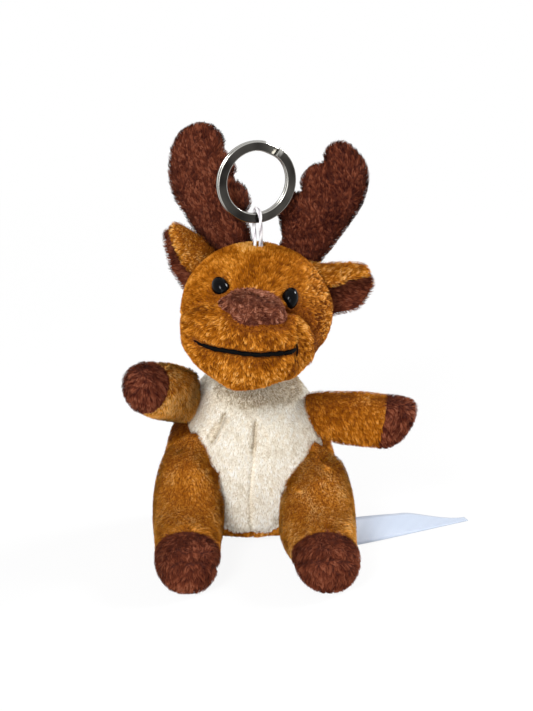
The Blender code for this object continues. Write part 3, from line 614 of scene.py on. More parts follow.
# Strands of pile as bent blades of three triangles, drawn together in tufts
def growPile(name, body, roots, normals, comb, coat, rng, seed):
    v, count = strand, len(roots)

    def drawn(key):
        return rng.uniform(*v["random"][key], count)

    def curled(key):
        return v[key][0] + v[key][1] * coat["curl"]
    length = (coat["length"] * drawn("length") * coat["share"])[:, None]
    flow = unit(comb) + curled("waveShare")[:, None] * waves(roots, v["wave"], seed)
    ripple = curled("rippleShare")[:, None] * waves(roots, v["ripple"], seed + 5)
    flow += ripple + v["stray"] * rng.normal(size=(count, 3))
    flow = unit(flow - (flow * normals).sum(1, keepdims=True) * normals)
    lean = (curled("lean") * drawn("lean"))[:, None]
    mids = roots + length * 0.5 * unit(normals + flow * lean * v["bend"])
    tips = mids + length * 0.5 * unit(normals * v["tipRise"] + flow * lean * v["tipBend"])
    # tufts
    tufts = rng.choice(count, max(int(count / coat["tuft"]), 1), replace=False)
    middles = roots + 0.5 * (tips - roots)
    tree = nearestOf(middles[tufts])
    near = np.array([tufts[tree.find(p)[1]] for p in middles])
    pull = curled("pull")[:, None] * drawn("pull")[:, None]
    tips = tips + pull * (tips[near] - tips)
    mids = mids + v["middlePull"] * pull * (mids[near] - mids)
    tips[:, 2] = np.maximum(tips[:, 2], pile["clearOfFloor"])
    mids[:, 2] = np.maximum(mids[:, 2], pile["clearOfFloor"])
    # the blade's flat looks outwards, and it is shaded mostly as the cloth that it grows on
    along = unit(tips - roots)
    broad = unit(np.cross(normals, flow))
    turn = drawn("turn")[:, None]
    side = unit(broad * np.cos(turn) + np.cross(along, broad) * np.sin(turn))
    side *= np.where((np.cross(side, along) * normals).sum(1, keepdims=True) < 0, -1, 1)
    half = (coat["width"] / 2 * drawn("width"))[:, None]
    blades = np.stack([roots - side * half, roots + side * half,
                       mids - side * half * v["taper"], mids + side * half * v["taper"], tips], 1)
    starts = np.arange(count)[:, None] * 5
    quads = (starts + np.array([0, 1, 3, 2])).tolist()
    ends = (starts + np.array([2, 3, 4])).tolist()
    piece = pieceFrom(name, blades.reshape(-1, 3).tolist(), quads + ends)
    shadeSmooth(piece)
    upright = unit(normals - (normals * along).sum(1, keepdims=True) * along)
    shade = v["cloth"] * coat["shading"] + v["upright"] * upright
    shade = unit(shade + v["glint"] * rng.normal(size=(count, 3)))
    piece.data.normals_split_custom_set_from_vertices(np.repeat(shade, 5, axis=0).tolist())
    kept = piece.data.attributes.new("shade", "FLOAT_VECTOR", "POINT")
    kept.data.foreach_set("vector", np.repeat(shade, 5, axis=0).astype(np.float32).ravel())
    tone = v["own"] * rng.random(count) + (v["shared"] * rng.random(count))[near]
    tone = 0.5 * coat["bright"] + (tone - 0.5) * curled("contrast") * coat["mottle"]
    patches, flecks = (waves(roots, v[key], seed + i)[:, 0] for key, i in (("patch", 9), ("fleck", 10)))
    tone += coat["clump"] * (patches + v["fleckShare"] * flecks)
    addAttribute(piece, "tip", np.tile([0.0, 0.0, 0.55, 0.55, 1.0], count))
    addAttribute(piece, "tone", np.repeat(tone, 5))
    layOut(piece, count)
    piece.data.materials.append(pileMaterials[coat["colour"]])
    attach(piece, body)


# A UV map named OFBake: each strand has a cell of its own
def layOut(piece, count):
    columns = math.ceil(math.sqrt(count * 1.5))
    rows = math.ceil(count / columns)
    index = np.arange(count)
    corner = np.stack([(index % columns) / columns, (index // columns) / rows], 1)
    cell = np.array([1 / columns, 1 / rows])
    quad = np.array([(0.05, 0.03), (0.95, 0.03), (0.95, 0.6), (0.05, 0.6)])
    end = np.array([(0.05, 0.6), (0.95, 0.6), (0.5, 0.97)])
    places = np.concatenate([(corner[:, None] + quad * cell).reshape(-1, 2),
                             (corner[:, None] + end * cell).reshape(-1, 2)])
    layer = piece.data.uv_layers.new(name="OFBake")
    layer.data.foreach_set("uv", places.astype(np.float32).ravel())


# Fills the crease where a body meets others, as sewn limbs run on into each other
def fillet(places, normals, others, reach, proud, weight=1.0):
    near = distances(treeOf(*others), places, reach)
    return places + normals * (proud * weight * np.clip(1 - near / reach, 0, 1) ** 2)[:, None]


# Turns the shading of a body towards its neighbour's, where the two are sewn together
def softened(places, normals, tree, reach):
    turned = normals.copy()
    for i, point in enumerate(places):
        place, normal, _, gap = tree.find_nearest(point, reach)
        if place is not None:
            turned[i] += np.array(normal) * (1 - gap / reach)
    return unit(turned)


# Flattens points onto a plane across the camera's way
def facing(points):
    return points - (points @ ahead)[:, None] * ahead


# Presses creases along lines given in pixels of the photograph: the points, width and depth
def press(places, normals, tree, creases):
    moved = places.copy()
    for pixels, width, depth in creases:
        line = smoothRoute(seenLine(tree, pixels), 4)
        moved -= normals * (depth * np.exp(-(fromLine(places, line) / width) ** 2))[:, None]
    return moved


padShape = dict(
    grooveFrom=0.0008, grooveWide=0.0011, grooveDeep=0.0004, wave=0.009, ripple=0.0045, rippleShare=0.5,
    clearOfFloor=0.0004, seamFade=0.0016, seamLeast=0.5, sewnReach=0.006, nearReach=0.0025, nearFade=0.0015,
    nearLeast=0.25, shyCore=0.35, turnedAway=0.3,
)


# One padded body: its form, the moves that shape it, and the pile on each of its skins.
# shape moves its points, region gives each point its skin, curl how tufted the pile is, shy the lines
# where the pile is short and its tone changes: the line, the distance, and the least shares of length and
# tone.
# A tone share below 1 there is painted shade, one above 1 a painted highlight.
def dressBody(name, body, skins, fillings, colours, comb, seed, shape=None, near=(), shy=(), curl=0.3,
              region=None, voxel=pile["voxel"], rounds=5, wavy=0.0003, forms=None, inset=pile["inset"],
              sewn=(), tint=1.0, mottle=1.0, clump=0.10):
    v, rng = padShape, np.random.default_rng(seed)
    forms = forms or [nodes[node].data for node in skins + fillings]
    pad = padFrom(f"{name}Pad", forms, voxel, inset, rounds)
    places, normals = cornersOf(pad), normalsOf(pad)
    kinds, seam = nearestSkins(places, skins)
    if region:
        kinds = region(places)
    else:
        groove = np.exp(-(np.maximum(seam - v["grooveFrom"], 0) / v["grooveWide"]) ** 2)
        places -= normals * (groove * v["grooveDeep"])[:, None]
    swell, ripple = waves(places, v["wave"], seed)[:, :1], waves(places, v["ripple"], seed)[:, 1:2]
    places += normals * (swell + v["rippleShare"] * ripple) * wavy
    if shape:
        places = shape(places, normals, kinds, treeOfPiece(pad))
    places[:, 2] = np.maximum(places[:, 2], v["clearOfFloor"])
    moveCorners(pad, places)
    normals = normalsOf(pad)
    for skin in skins:
        pad.data.materials.append(backings[colours[skin]])
    middles = np.array([p.center[:] for p in pad.data.polygons])
    faceKinds = region(middles) if region else nearestSkins(middles, skins)[0]
    pad.data.polygons.foreach_set("material_index", faceKinds.astype(np.int32))
    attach(pad, body)
    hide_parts(*skins, *fillings)

    share = np.ones(len(places))
    if not region:
        share = np.clip((seam - v["grooveFrom"]) / v["seamFade"], 0, 1)
        share = v["seamLeast"] + (1 - v["seamLeast"]) * share
    shading = normals.copy()
    for other in sewn:
        shading = softened(places, shading, treeOf(other), v["sewnReach"])
    for other in near:
        gap = distances(treeOf(*other), places, v["nearReach"])
        share = np.minimum(share, np.clip(gap / v["nearFade"], v["nearLeast"], 1))
    corners, weights, faces = scatter(pad, pile["perSquareMm"], rng)

    def spread(field):
        return (field[corners] * (weights if field.ndim == 1 else weights[:, :, None])).sum(1)
    roots, share = spread(places), spread(share)
    normals, shading = unit(spread(normals)), unit(spread(shading))
    kinds = region(roots) if region else faceKinds[faces]
    # the tint makes a body's pile lighter or darker: partly its own colour, partly painted light where one
    # cloth is lit unequally
    tinted = np.array([colours[skin] != "brown" or colours[skins[0]] == "brown" for skin in skins])
    bright = np.where(tinted[kinds], tint, 1.0)
    # the shy lines paint shade and highlights into the pile's tone
    for line, radius, leastLength, leastTone in shy:
        gaps = fromLine(facing(roots), facing(np.array(line, float)))
        away = rise(np.where(normals @ ahead < v["turnedAway"], gaps, 1.0), radius * v["shyCore"], radius)
        share = share * (leastLength + (1 - leastLength) * away)
        bright = bright * (leastTone + (1 - leastTone) * away)
    flow = comb(roots, normals)
    curls = curl(roots) if callable(curl) else np.full(len(roots), curl)
    for i, skin in enumerate(skins):
        mine = np.flatnonzero(kinds == i)
        if not len(mine):
            continue
        colour = colours[skin]
        title = "".join(w.capitalize() if n else w for n, w in enumerate(skin.split("_")))
        parts = math.ceil(len(mine) / pile["mostInPiece"])
        for part, some in enumerate(np.array_split(mine[np.argsort(roots[mine, 2])], parts)):
            coat = dict(
                colour=colour, length=pile[f"{colour}Length"], width=pile["width"], tuft=pile["tuft"],
                share=share[some], curl=curls[some], bright=bright[some], shading=shading[some],
                mottle=mottle, clump=clump,
            )
            growPile(f"{title}Pile{chr(65 + part) if parts > 1 else ''}", body, roots[some], normals[some],
                     flow[some], coat, rng, seed + i)
    print(name, "dressed,", len(roots), "strands")
    return pad


# A body of two skins that the animal has on both of its sides, combed towards a goal
def dressPair(kind, side, ends, colours, goal, seed, filled=True, **more):
    body = f"{kind}_{side}"
    skins = [f"{body}_{end}" for end in ends]
    dressBody(f"{kind}{side.capitalize()}", body, skins, [f"{body}_stuffing"] if filled else [],
              dict(zip(skins, colours)), alongTo(goal), seed, **more)


def alongTo(goal):
    def comb(roots, normals):
        return unit(np.array(goal) - roots)
    return comb


# Torso. Each crease has its line in pixels of the photograph, its width and its depth.
torsoSkins = ["back_panel", "belly_panel"]
torsoTree = treeOf(*torsoSkins)
armNodes = ["arm_left_sleeve", "arm_right_sleeve"]
legNodes = ["leg_left_sleeve", "leg_right_sleeve"]
headNodes = ("muzzle_panel", "head_back_panel")
torsoCreases = [
    ([(224, 414), (219, 426), (213, 441)], 0.0008, 0.0020),
    ([(216, 424), (209, 436)], 0.0007, 0.0010),
    ([(255.6, 422), (254.5, 436), (253.5, 452)], 0.0008, 0.0016),
    ([(253.5, 450), (252.6, 467), (250, 496), (250.6, 523), (252.6, 534)], 0.0006, 0.0007),
]
# creaseTones darken the pile along the creases: painted shade
torsoValues = dict(
    front=0.004, seamWide=0.0009, seamDeep=0.0005, side=(0.010, 0.019), onBelly=0.001,
    legFillet=(0.006, 0.0010), armFillet=(0.004, 0.0010), comb=(0.0, -0.15, -1.0), combOut=0.3,
    creaseShy=(0.0011, 0.35), creaseTones=(-1.6, -0.6, -1.4, 0.5),
)
# Painted shadow under the chin and painted shade under the arm: lines along which the pile's tone is
# darkened.
underChin = ([(232, 386), (246, 390), (262, 391), (284, 386)], 0.0075, 1.0, -1.5)
underArm = ([(166, 432), (172, 428), (180, 427)], 0.0048, 1.0, -0.3)
bellyOutline = [
    (206, 340), (200, 372), (195, 402), (188, 421), (198, 458), (213, 490), (224, 527), (234, 531),
    (268, 531), (277, 527), (292, 502), (313, 482), (325, 456), (321, 440), (316, 423), (314, 388),
    (306, 340),
]


def downwards(roots, normals):
    return np.tile(torsoValues["comb"], (len(roots), 1)) + torsoValues["combOut"] * normals


def torsoRegion(points):
    return ((insideOutline(points, bellyOutline) > 0) & (points[:, 1] < torsoValues["front"])).astype(int)


def shapeTorso(places, normals, kinds, tree):
    v = torsoValues
    inside = insideOutline(places, bellyOutline)
    seam = np.exp(-(inside / v["seamWide"]) ** 2) * (places[:, 1] < v["front"]) * v["seamDeep"]
    side = rise(np.abs(places[:, 0]), *v["side"])
    moved = fillet(places, normals, legNodes, *v["legFillet"], side * (inside < v["onBelly"]))
    moved = fillet(moved, normals, armNodes, *v["armFillet"], kinds == 0)
    return moved - normals * seam[:, None] + press(places, normals, tree, torsoCreases) - places


# The lines of the photograph along which the pile is short and dim, as a body's shy list
def shyLines(tree, lines):
    return [(seenLine(tree, pixels), *values) for pixels, *values in lines]


dressBody(
    "torso", "torso", torsoSkins, ["torso_stuffing"], dict(back_panel="caramel", belly_panel="cream"),
    downwards, 11, shape=shapeTorso, curl=0.12, region=torsoRegion, sewn=legNodes,
    shy=shyLines(torsoTree, [(crease[0], *torsoValues["creaseShy"], tone)
                             for crease, tone in zip(torsoCreases, torsoValues["creaseTones"])]
                 + [underChin, underArm]),
    near=[(node,) for node in legNodes + armNodes] + [headNodes],
)


# Head. Its nose, muzzle, creases and mouth lie where the photograph shows them.
headSkins = ["forehead_panel", "muzzle_panel", "head_back_panel", "nose_patch"]
headTree = treeOf(*headSkins)
headLines = dict(
    nose=[(218.5, 303), (223, 297), (233, 291.5), (247, 289), (260.5, 291), (272.5, 295), (281, 302),
          (286, 312), (286.5, 320), (279, 325), (264, 324), (250, 326), (241, 324), (235, 320), (229, 313),
          (222, 309)],
    muzzle=[(180, 318), (188, 311), (197, 305), (218, 302), (250, 296), (286, 311), (297, 311), (306, 321),
            (312, 334), (313, 351), (309, 362), (301, 373), (270, 392), (230, 390), (195, 365), (180, 345)],
    mouth=[(195.5, 339.5), (202, 343), (214, 347), (226, 349), (243, 351.6), (260, 352.8), (277.5, 351.8),
           (293, 350)],
)
muzzleRidge = [(288, 317), (298, 318), (306, 326), (310.5, 337), (311, 351), (308, 360), (302, 368)]
headCreases = [
    (muzzleRidge, 0.0016, -0.0011),
    ([(287, 311), (298, 310), (309, 320), (316, 334), (317.5, 351), (314, 363), (307, 372)], 0.0015, 0.0030),
    ([(184, 314), (189, 311), (197, 305.5), (207, 304), (217, 302.5)], 0.0007, 0.0007),
    ([(194, 339), (202, 343), (214, 347), (243, 352.3), (260, 354), (277.5, 353), (297, 350.5)],
     0.0011, 0.0009),
    ([(228, 313), (236, 321), (242, 326), (252, 328), (266, 326), (281, 327), (288, 320)], 0.0008, 0.0007),
]
eyeValues = dict(
    left=dict(pixel=(289.8, 300.0), wide=0.0025, high=0.0035, tilt=-14.0),
    right=dict(pixel=(221.2, 290.0), wide=0.0026, high=0.0038, tilt=24.0),
    deep=0.0030, proud=0.0012, forwards=1.4, socket=0.0005,
)
mouthLine = smoothRoute(seenLine(headTree, headLines["mouth"]), 4)
eyeMiddles = {side: seenAt(headTree, *eyeValues[side]["pixel"]) for side in ("left", "right")}
noseMiddle = np.array(seenAt(headTree, 252, 308))
headValues = dict(
    muzzle=0.0026, muzzleRim=0.0030, cheek=0.0036, cheekRim=0.0012, nose=0.0034, noseRim=0.0030,
    muzzleStart=-0.0004, noseStart=-0.0003, cheekPixels=(284, 300), cheekTurn=0.9,
    frontGain=2.2, forwards=0.8, socketFrom=(0.002, 0.0045), chinPixels=(364, 382), chinFront=(-0.006, 0.008),
    chinUp=0.0012, chinUpAt=(272, 15), chinDown=0.0005, chinDownAt=(236, 12), noseFront=-0.012,
    combDown=0.25, combBehind=(0.0, 0.4, -1.0), behind=(0.0, 0.015),
)
# How tufted the pile is: the most, where it begins and is full, and how far back it goes
headCurls = dict(
    cheek=(1.2, (296, 320), 0.008), muzzle=(0.45, (-0.001, 0.002), -0.01),
    nose=(0.9, (-0.001, 0.0005), -0.01), least=0.08,
)


def combHead(roots, normals):
    away = unit(roots - noseMiddle)
    away[:, 2] -= headValues["combDown"]
    behind = rise(roots[:, 1], *headValues["behind"])[:, None]
    return away * (1 - behind) + np.array(headValues["combBehind"]) * behind


def headRegion(points):
    kinds, _ = nearestSkins(points, headSkins)
    inNose = (insideOutline(points, headLines["nose"]) > 0) & (points[:, 1] < headValues["noseFront"])
    return np.where(inNose, 3, np.where(kinds == 3, 0, kinds))


# Tight curls on the animal's left cheek, smooth pile on the forehead, combed pile on the muzzle
def curlHead(roots):
    def tufted(key, along):
        most, span, back = headCurls[key]
        return most * rise(along, *span) * (roots[:, 1] < back)
    cheek = tufted("cheek", pixelsOf(roots)[:, 0])
    muzzle, nose = (tufted(key, insideOutline(roots, headLines[key])) for key in ("muzzle", "nose"))
    return np.maximum(np.maximum(cheek, muzzle), np.maximum(nose, headCurls["least"]))


def shapeHead(places, normals, kinds, tree):
    v = headValues
    front = np.clip(-(normals @ ahead) * v["frontGain"], 0, 1)
    inMuzzle, inNose = (insideOutline(places, headLines[key]) for key in ("muzzle", "nose"))
    nose = rise(inNose, v["noseStart"], v["noseRim"])
    outwards = unit(normals - v["forwards"] * ahead)
    across, down = pixelsOf(places).T
    cheek = rise(across, *v["cheekPixels"])
    steep = rise(inMuzzle, v["muzzleStart"], v["cheekRim"])
    muzzle = rise(inMuzzle, v["muzzleStart"], v["muzzleRim"]) * (1 - cheek) + steep * cheek
    gain = front * (v["muzzle"] * (1 - cheek) + v["cheek"] * cheek)
    moved = places + unit(outwards - v["cheekTurn"] * cheek[:, None] * normals) * (gain * muzzle)[:, None]
    moved += outwards * (front * v["nose"] * nose)[:, None]
    for middle in eyeMiddles.values():
        away = np.linalg.norm(places - np.array(middle), axis=1)
        moved -= normals * (eyeValues["socket"] * (1 - rise(away, *v["socketFrom"])))[:, None]
    # the chin hangs a little lower on the animal's right
    low = rise(down, *v["chinPixels"]) * rise(-places[:, 1], *v["chinFront"])
    up, drop = (np.exp(-((across - at) / wide) ** 2) for at, wide in (v["chinUpAt"], v["chinDownAt"]))
    moved[:, 2] += low * (v["chinUp"] * up - v["chinDown"] * drop)
    return moved + press(places, normals, tree, headCreases) - places


# The pile is darker along the mouth, round the eyes, behind the muzzle's edge, along the mouth's crease and
# under the nose: painted shade. Along the muzzle's left seam it is lighter.
headShy = [(mouthLine, 0.0017, 0.25, 0.6)]
headShy += [([middle] * 2, 0.0044, 0.15, 0.85) for middle in eyeMiddles.values()]
headShy += shyLines(headTree, [(crease[0], *values) for crease, values in zip(headCreases[1:], (
    (0.0022, 0.3, -0.6), (0.0013, 0.5, 1.3), (0.0013, 0.5, 0.8), (0.0018, 0.4, 0.0)))])
# Lighter along the muzzle's ridge and across the crown: painted highlights. Darker along the cheek at the
# head's outer edge: painted shade.
headShy += shyLines(headTree, [
    (muzzleRidge, 0.0024, 0.9, 1.6),
    ([(246, 246), (260, 242), (276, 244)], 0.0042, 1.0, 3.0),
    ([(322, 296), (326, 310), (326, 330), (321, 350)], 0.0065, 1.0, 0.55),
])
headPad = dressBody(
    "head", "head", headSkins, ["head_stuffing"],
    dict(forehead_panel="caramel", muzzle_panel="caramel", head_back_panel="caramel", nose_patch="nose"),
    combHead, 21, shape=shapeHead, curl=curlHead, region=headRegion, shy=headShy, tint=0.66,
    near=[("belly_panel", "back_panel")],
)


# Arms and legs
def boxMiddle(node):
    low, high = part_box(node)
    return np.array((low + high) / 2)


# Draws the sewn end of a limb into the body
def rootInto(places, end, sleeve, zone, reach):
    way = unit(end - sleeve)
    along = (places - end) @ way
    return places - way * (reach * rise(-along, -along.min() - zone, -along.min()))[:, None]


# The two arms' tints differ: the same cloth brightened unequally, as painted light.
armValues = dict(
    rootZone=0.008, rootReach=0.0034, filletReach=0.005, filletRise=0.0009,
    pawBorder=0.0385, pawMiddle=0.0385, pawSlant=0.15, tint=dict(left=0.8, right=2.2),
)
pawWedge = dict(
    span=(0.038, 0.0525), middle=0.0395, high=0.008, shorter=0.0006, cut=0.0050, cutFrom=0.4, lift=0.0016,
)
# The legs' tints brighten their pile: painted light on the haunches.
legValues = dict(
    filletReach=0.005, filletRise=0.0008, outer=(0.014, 0.022), upper=(0.2, 0.7), clearOfFloor=0.004,
    puff=0.0022, puffMiddle=-0.028, puffWide=0.009, puffInner=(-0.020, -0.010), puffEnd=-0.040,
    footPuff=0.0008, footFrom=(0.036, 0.043), footBorder=-0.0412, footSlope=0.42, footTop=0.017,
    creaseShy=(0.0011, 0.7, 0.35), tint=dict(left=1.8, right=1.5),
)
haunchValues = dict(
    span=(-0.034, -0.012), lift=dict(left=0.011, right=0.015), full=0.025, low=0.023,
    top=dict(left=0.035, right=0.040), thin=0.0004, thick=0.020, trim=0.024, trimAt=(-0.0015, 0.004),
    evenBelow=0.004, evenReach=0.0022, evenRounds=4,
)
footCreases = dict(
    left=[([(300, 562), (315, 558), (334, 557), (352, 562)], 0.0011, 0.0009)],
    right=[([(158, 568), (175, 561), (196, 560), (214, 566)], 0.0011, 0.0009)],
)


def armShape(side):
    def shape(places, normals, kinds, tree):
        v, w = armValues, pawWedge
        moved = fillet(places, normals, torsoSkins, v["filletReach"], v["filletRise"])
        paw, sleeve = boxMiddle(f"arm_{side}_paw"), boxMiddle(f"arm_{side}_sleeve")
        moved = rootInto(moved, paw, sleeve, v["rootZone"], v["rootReach"])
        if side == "left":  # a wedge: its point up and outwards, its lower corner cut back
            out = rise(places[:, 0], *w["span"])
            low = np.clip((w["middle"] - places[:, 2]) / w["high"], -1, 1)
            moved[:, 0] -= w["shorter"] * out + w["cut"] * out * np.clip(low + w["cutFrom"], 0, 1)
            moved[:, 2] += w["lift"] * out
        return moved
    return shape


def armRegion(side):
    if side == "right":
        return None

    def region(points):
        slant = (points[:, 2] - armValues["pawMiddle"]) * armValues["pawSlant"]
        return (points[:, 0] - slant > armValues["pawBorder"]).astype(int)
    return region


# Evens out some of the corners with their neighbours
def evened(places, some, reach, rounds):
    tree = nearestOf(places)
    near = [[j for _, j, _ in tree.find_range(places[i], reach)] for i in some]
    for _ in range(rounds):
        places[some] = [places[group].mean(0) for group in near]
    return places


# Raises the top of a leg's sewn end, so that it runs on up the torso's side and thins out there
def haunch(side, places):
    v = haunchValues
    near = rise(places[:, 1], *v["span"])
    moved = places.copy()
    moved[:, 2] += v["lift"][side] * near * np.clip(places[:, 2] / v["full"], 0, 1) ** 2
    most = v["thin"] + v["thick"] * (1 - rise(moved[:, 2], v["low"], v["top"][side])) ** 1.5
    most -= v["trim"] * rise(insideOutline(moved, bellyOutline), *v["trimAt"])
    for i in np.flatnonzero((moved[:, 2] > v["low"]) & (near > 0)):
        place, normal, _, _ = torsoTree.find_nearest(Vector(moved[i]))
        out = (Vector(moved[i]) - place).dot(normal)
        if out > most[i]:
            moved[i] = place + normal * most[i]
    some = np.flatnonzero((moved[:, 2] > v["low"] - v["evenBelow"]) & (near > 0))
    return evened(moved, some, v["evenReach"], v["evenRounds"])


def legShape(side):
    def shape(places, normals, kinds, tree):
        v = legValues
        places = haunch(side, places)
        outer = np.maximum(rise(np.abs(places[:, 0]), *v["outer"]), rise(normals[:, 2], *v["upper"]))
        outer = outer * (places[:, 2] > v["clearOfFloor"])
        moved = fillet(places, normals, torsoSkins, v["filletReach"], v["filletRise"], outer)
        if side == "left":  # it swells inwards above its foot
            inwards = np.exp(-((moved[:, 1] - v["puffMiddle"]) / v["puffWide"]) ** 2)
            inwards = inwards * rise(-moved[:, 0], *v["puffInner"])
            moved[:, 0] -= v["puff"] * inwards * (moved[:, 1] > v["puffEnd"])
        moved += normals * (v["footPuff"] * rise(-places[:, 1], *v["footFrom"]))[:, None]
        return moved + press(places, normals, tree, footCreases[side]) - places
    return shape


def legRegion(points):
    v = legValues
    border = v["footBorder"] + v["footSlope"] * (v["footTop"] - points[:, 2])
    return (points[:, 1] < border).astype(int)


def curlLimb(region):
    def curl(roots):
        return 0.15 + 0.5 * region(roots)
    return curl


def pawCurl(side):
    skins = [f"arm_{side}_sleeve", f"arm_{side}_paw"]
    return curlLimb(armRegion(side) or (lambda roots: nearestSkins(roots, skins)[0]))


def belowMiddle(node):
    return boxMiddle(node) - np.array([0, 0, 0.02])


for side, seed in (("left", 31), ("right", 41)):
    dressPair(
        "arm", side, ("sleeve", "paw"), ("caramel", "brown"), belowMiddle(f"arm_{side}_paw"), seed,
        shape=armShape(side), region=armRegion(side), curl=pawCurl(side), sewn=torsoSkins,
        tint=armValues["tint"][side], near=[headNodes],
    )
for side, seed in (("left", 51), ("right", 61)):
    footTree = treeOf(f"leg_{side}_foot")
    dressPair(
        "leg", side, ("sleeve", "foot"), ("caramel", "brown"), belowMiddle(f"leg_{side}_foot"), seed,
        shape=legShape(side), region=legRegion, curl=curlLimb(legRegion), tint=legValues["tint"][side],
        mottle=0.6, clump=0.24,
        # the pile is darker along the foot creases: painted shade
        shy=shyLines(footTree, [(crease[0], *legValues["creaseShy"]) for crease in footCreases[side]]),
    )
print("body, head and limbs made")


# Antlers: flat pillows cut to the outline that the photograph shows, in the plane of their nodes
antlerValues = dict(
    thick=0.0034, rim=0.0042, swell=0.0002, voxel=0.0006, wavy=0.0002, curl=0.6,
    tint=dict(left=0.5, right=0.9),
)
antlerOutlines = dict(
    right=[(217, 254), (205, 241), (193, 223.7), (182.4, 206), (174, 189), (170.8, 169.5), (172, 154),
           (178, 137), (187, 128.5), (198.7, 124.6), (210, 127.5), (218.5, 135), (222, 143.5), (222.3, 151),
           (227, 157.5), (232.4, 164), (234.4, 171.5), (231, 179), (236.7, 183.5), (244, 190), (248, 198.7),
           (248, 206.3), (244.3, 214), (245.4, 223.7), (248.7, 234.6), (250, 246), (236, 256)],
    left=[(280, 248), (283.5, 236.7), (282.4, 228), (280, 217), (278.5, 208.5), (281.5, 200), (290, 195),
          (303.5, 193), (301.8, 184.6), (304, 175), (312.8, 167), (324.5, 163.9), (325, 155), (329.5, 147),
          (340, 142.8), (351.5, 148), (361, 158.5), (366.5, 171.5), (367, 184.6), (361, 204), (349.5, 221.5),
          (336.5, 239), (326, 253), (316, 264), (300, 266), (287, 258)],
)


def cloudOf(*names):
    return np.array([v.co[:] for name in names for v in nodes[name].data.vertices])


def antlerForm(side):
    cloud = cloudOf(f"antler_{side}_front", f"antler_{side}_back")
    middle = cloud.mean(0)
    a, b, normal = np.linalg.svd(cloud - middle, full_matrices=False)[2]
    outline = antlerOutlines[side]
    route = smoothRoute([(*pixel, 0) for pixel in [*outline, outline[0]]], 4)[:-1]
    points = np.array([placeOn(p[0], p[1], middle, normal)[:] for p in route])
    flat = np.stack([(points - middle) @ a, (points - middle) @ b], 1)
    count, thick = len(points), antlerValues["thick"]
    corners = [*(points + normal * thick), *(points - normal * thick)]
    faces = [list(range(count)), list(range(2 * count - 1, count - 1, -1))]
    faces += [[i, i + count, (i + 1) % count + count, (i + 1) % count] for i in range(count)]
    form = pieceFrom(f"antlerForm{side}", corners, faces)

    def shape(places, normals, kinds, tree):
        away = places - middle
        inside = np.clip(insideBy(np.stack([away @ a, away @ b], 1), flat) / antlerValues["rim"], 0, 1)
        puff = np.sqrt(1 - (1 - inside) ** 2)
        lowered = (away @ normal) * (puff - 1)
        return places + normal * lowered[:, None] + normals * antlerValues["swell"]

    def region(points):
        front = (points - middle) @ normal * (1 if normal[1] < 0 else -1) > 0
        return np.where(front, 0, 1)
    return form, shape, region


def dropForm(form):
    mesh = form.data
    bpy.data.objects.remove(form)
    bpy.data.meshes.remove(mesh)


for side, seed in (("left", 71), ("right", 81)):
    v = antlerValues
    form, shape, region = antlerForm(side)
    dressPair(
        "antler", side, ("front", "back"), ("brown", "brown"),
        boxMiddle(f"antler_{side}_front") + np.array([0, 0, 0.05]), seed, shape=shape, region=region,
        forms=[form.data], voxel=v["voxel"], rounds=3, curl=v["curl"], wavy=v["wavy"], tint=v["tint"][side],
    )
    dropForm(form)
print("antlers made")


# Ears: leaves folded along a spine, so that the near flap shows its back and the far flap its lining.
# Each line runs from the head to the tip: pixels of the photograph and the depth in metres.
earValues = dict(
    wall=0.0012, bulge=0.0012, along=22, across=9, voxel=0.00045, wavy=0.0001, inset=0.0001,
    curl=0.35, tint=1.3,
    right=dict(
        spine=[(228, 264, 0.007), (214, 252, 0.006), (206, 243, 0.005), (198, 236.5, 0.0045),
               (188, 229.5, 0.004), (179, 225.5, 0.004), (173.5, 224.5, 0.004)],
        near=[(212, 288, 0.003), (202, 280, 0.002), (194, 274, 0.001), (186, 267, 0.0005),
              (179, 255, 0.0005), (174, 242, 0.001), (171.5, 230, 0.002)],
        far=[(198, 300, 0.008), (190, 293, 0.009), (182, 284, 0.010), (173, 269, 0.0105),
             (169, 256, 0.010), (166, 242, 0.009), (165, 232, 0.007)],
    ),
    left=dict(
        spine=[(306, 262, 0.006), (316, 264.5, 0.006), (328, 264.5, 0.006), (340, 264.5, 0.006),
               (352, 264.5, 0.006), (361, 265.5, 0.005), (367, 269, 0.005)],
        near=[(316, 288, 0.001), (327, 286, -0.0005), (337, 284.5, -0.001), (346, 281, -0.001),
              (355, 278, -0.0005), (363, 276.5, 0.001), (368.5, 275.5, 0.003)],
        far=[(322, 316, 0.006), (336, 313, 0.006), (347, 311, 0.006), (357, 307.5, 0.006),
             (365, 299, 0.006), (370, 290, 0.006), (371.5, 280, 0.006)],
    ),
)


def evenRoute(points, count):
    route = smoothRoute([depthAt(*p) for p in points], 12)
    run = np.concatenate([[0], np.cumsum([(b - a).length for a, b in zip(route, route[1:])])])
    marks = np.linspace(0, run[-1], count)
    return np.stack([np.interp(marks, run, [p[i] for p in route]) for i in range(3)], 1)


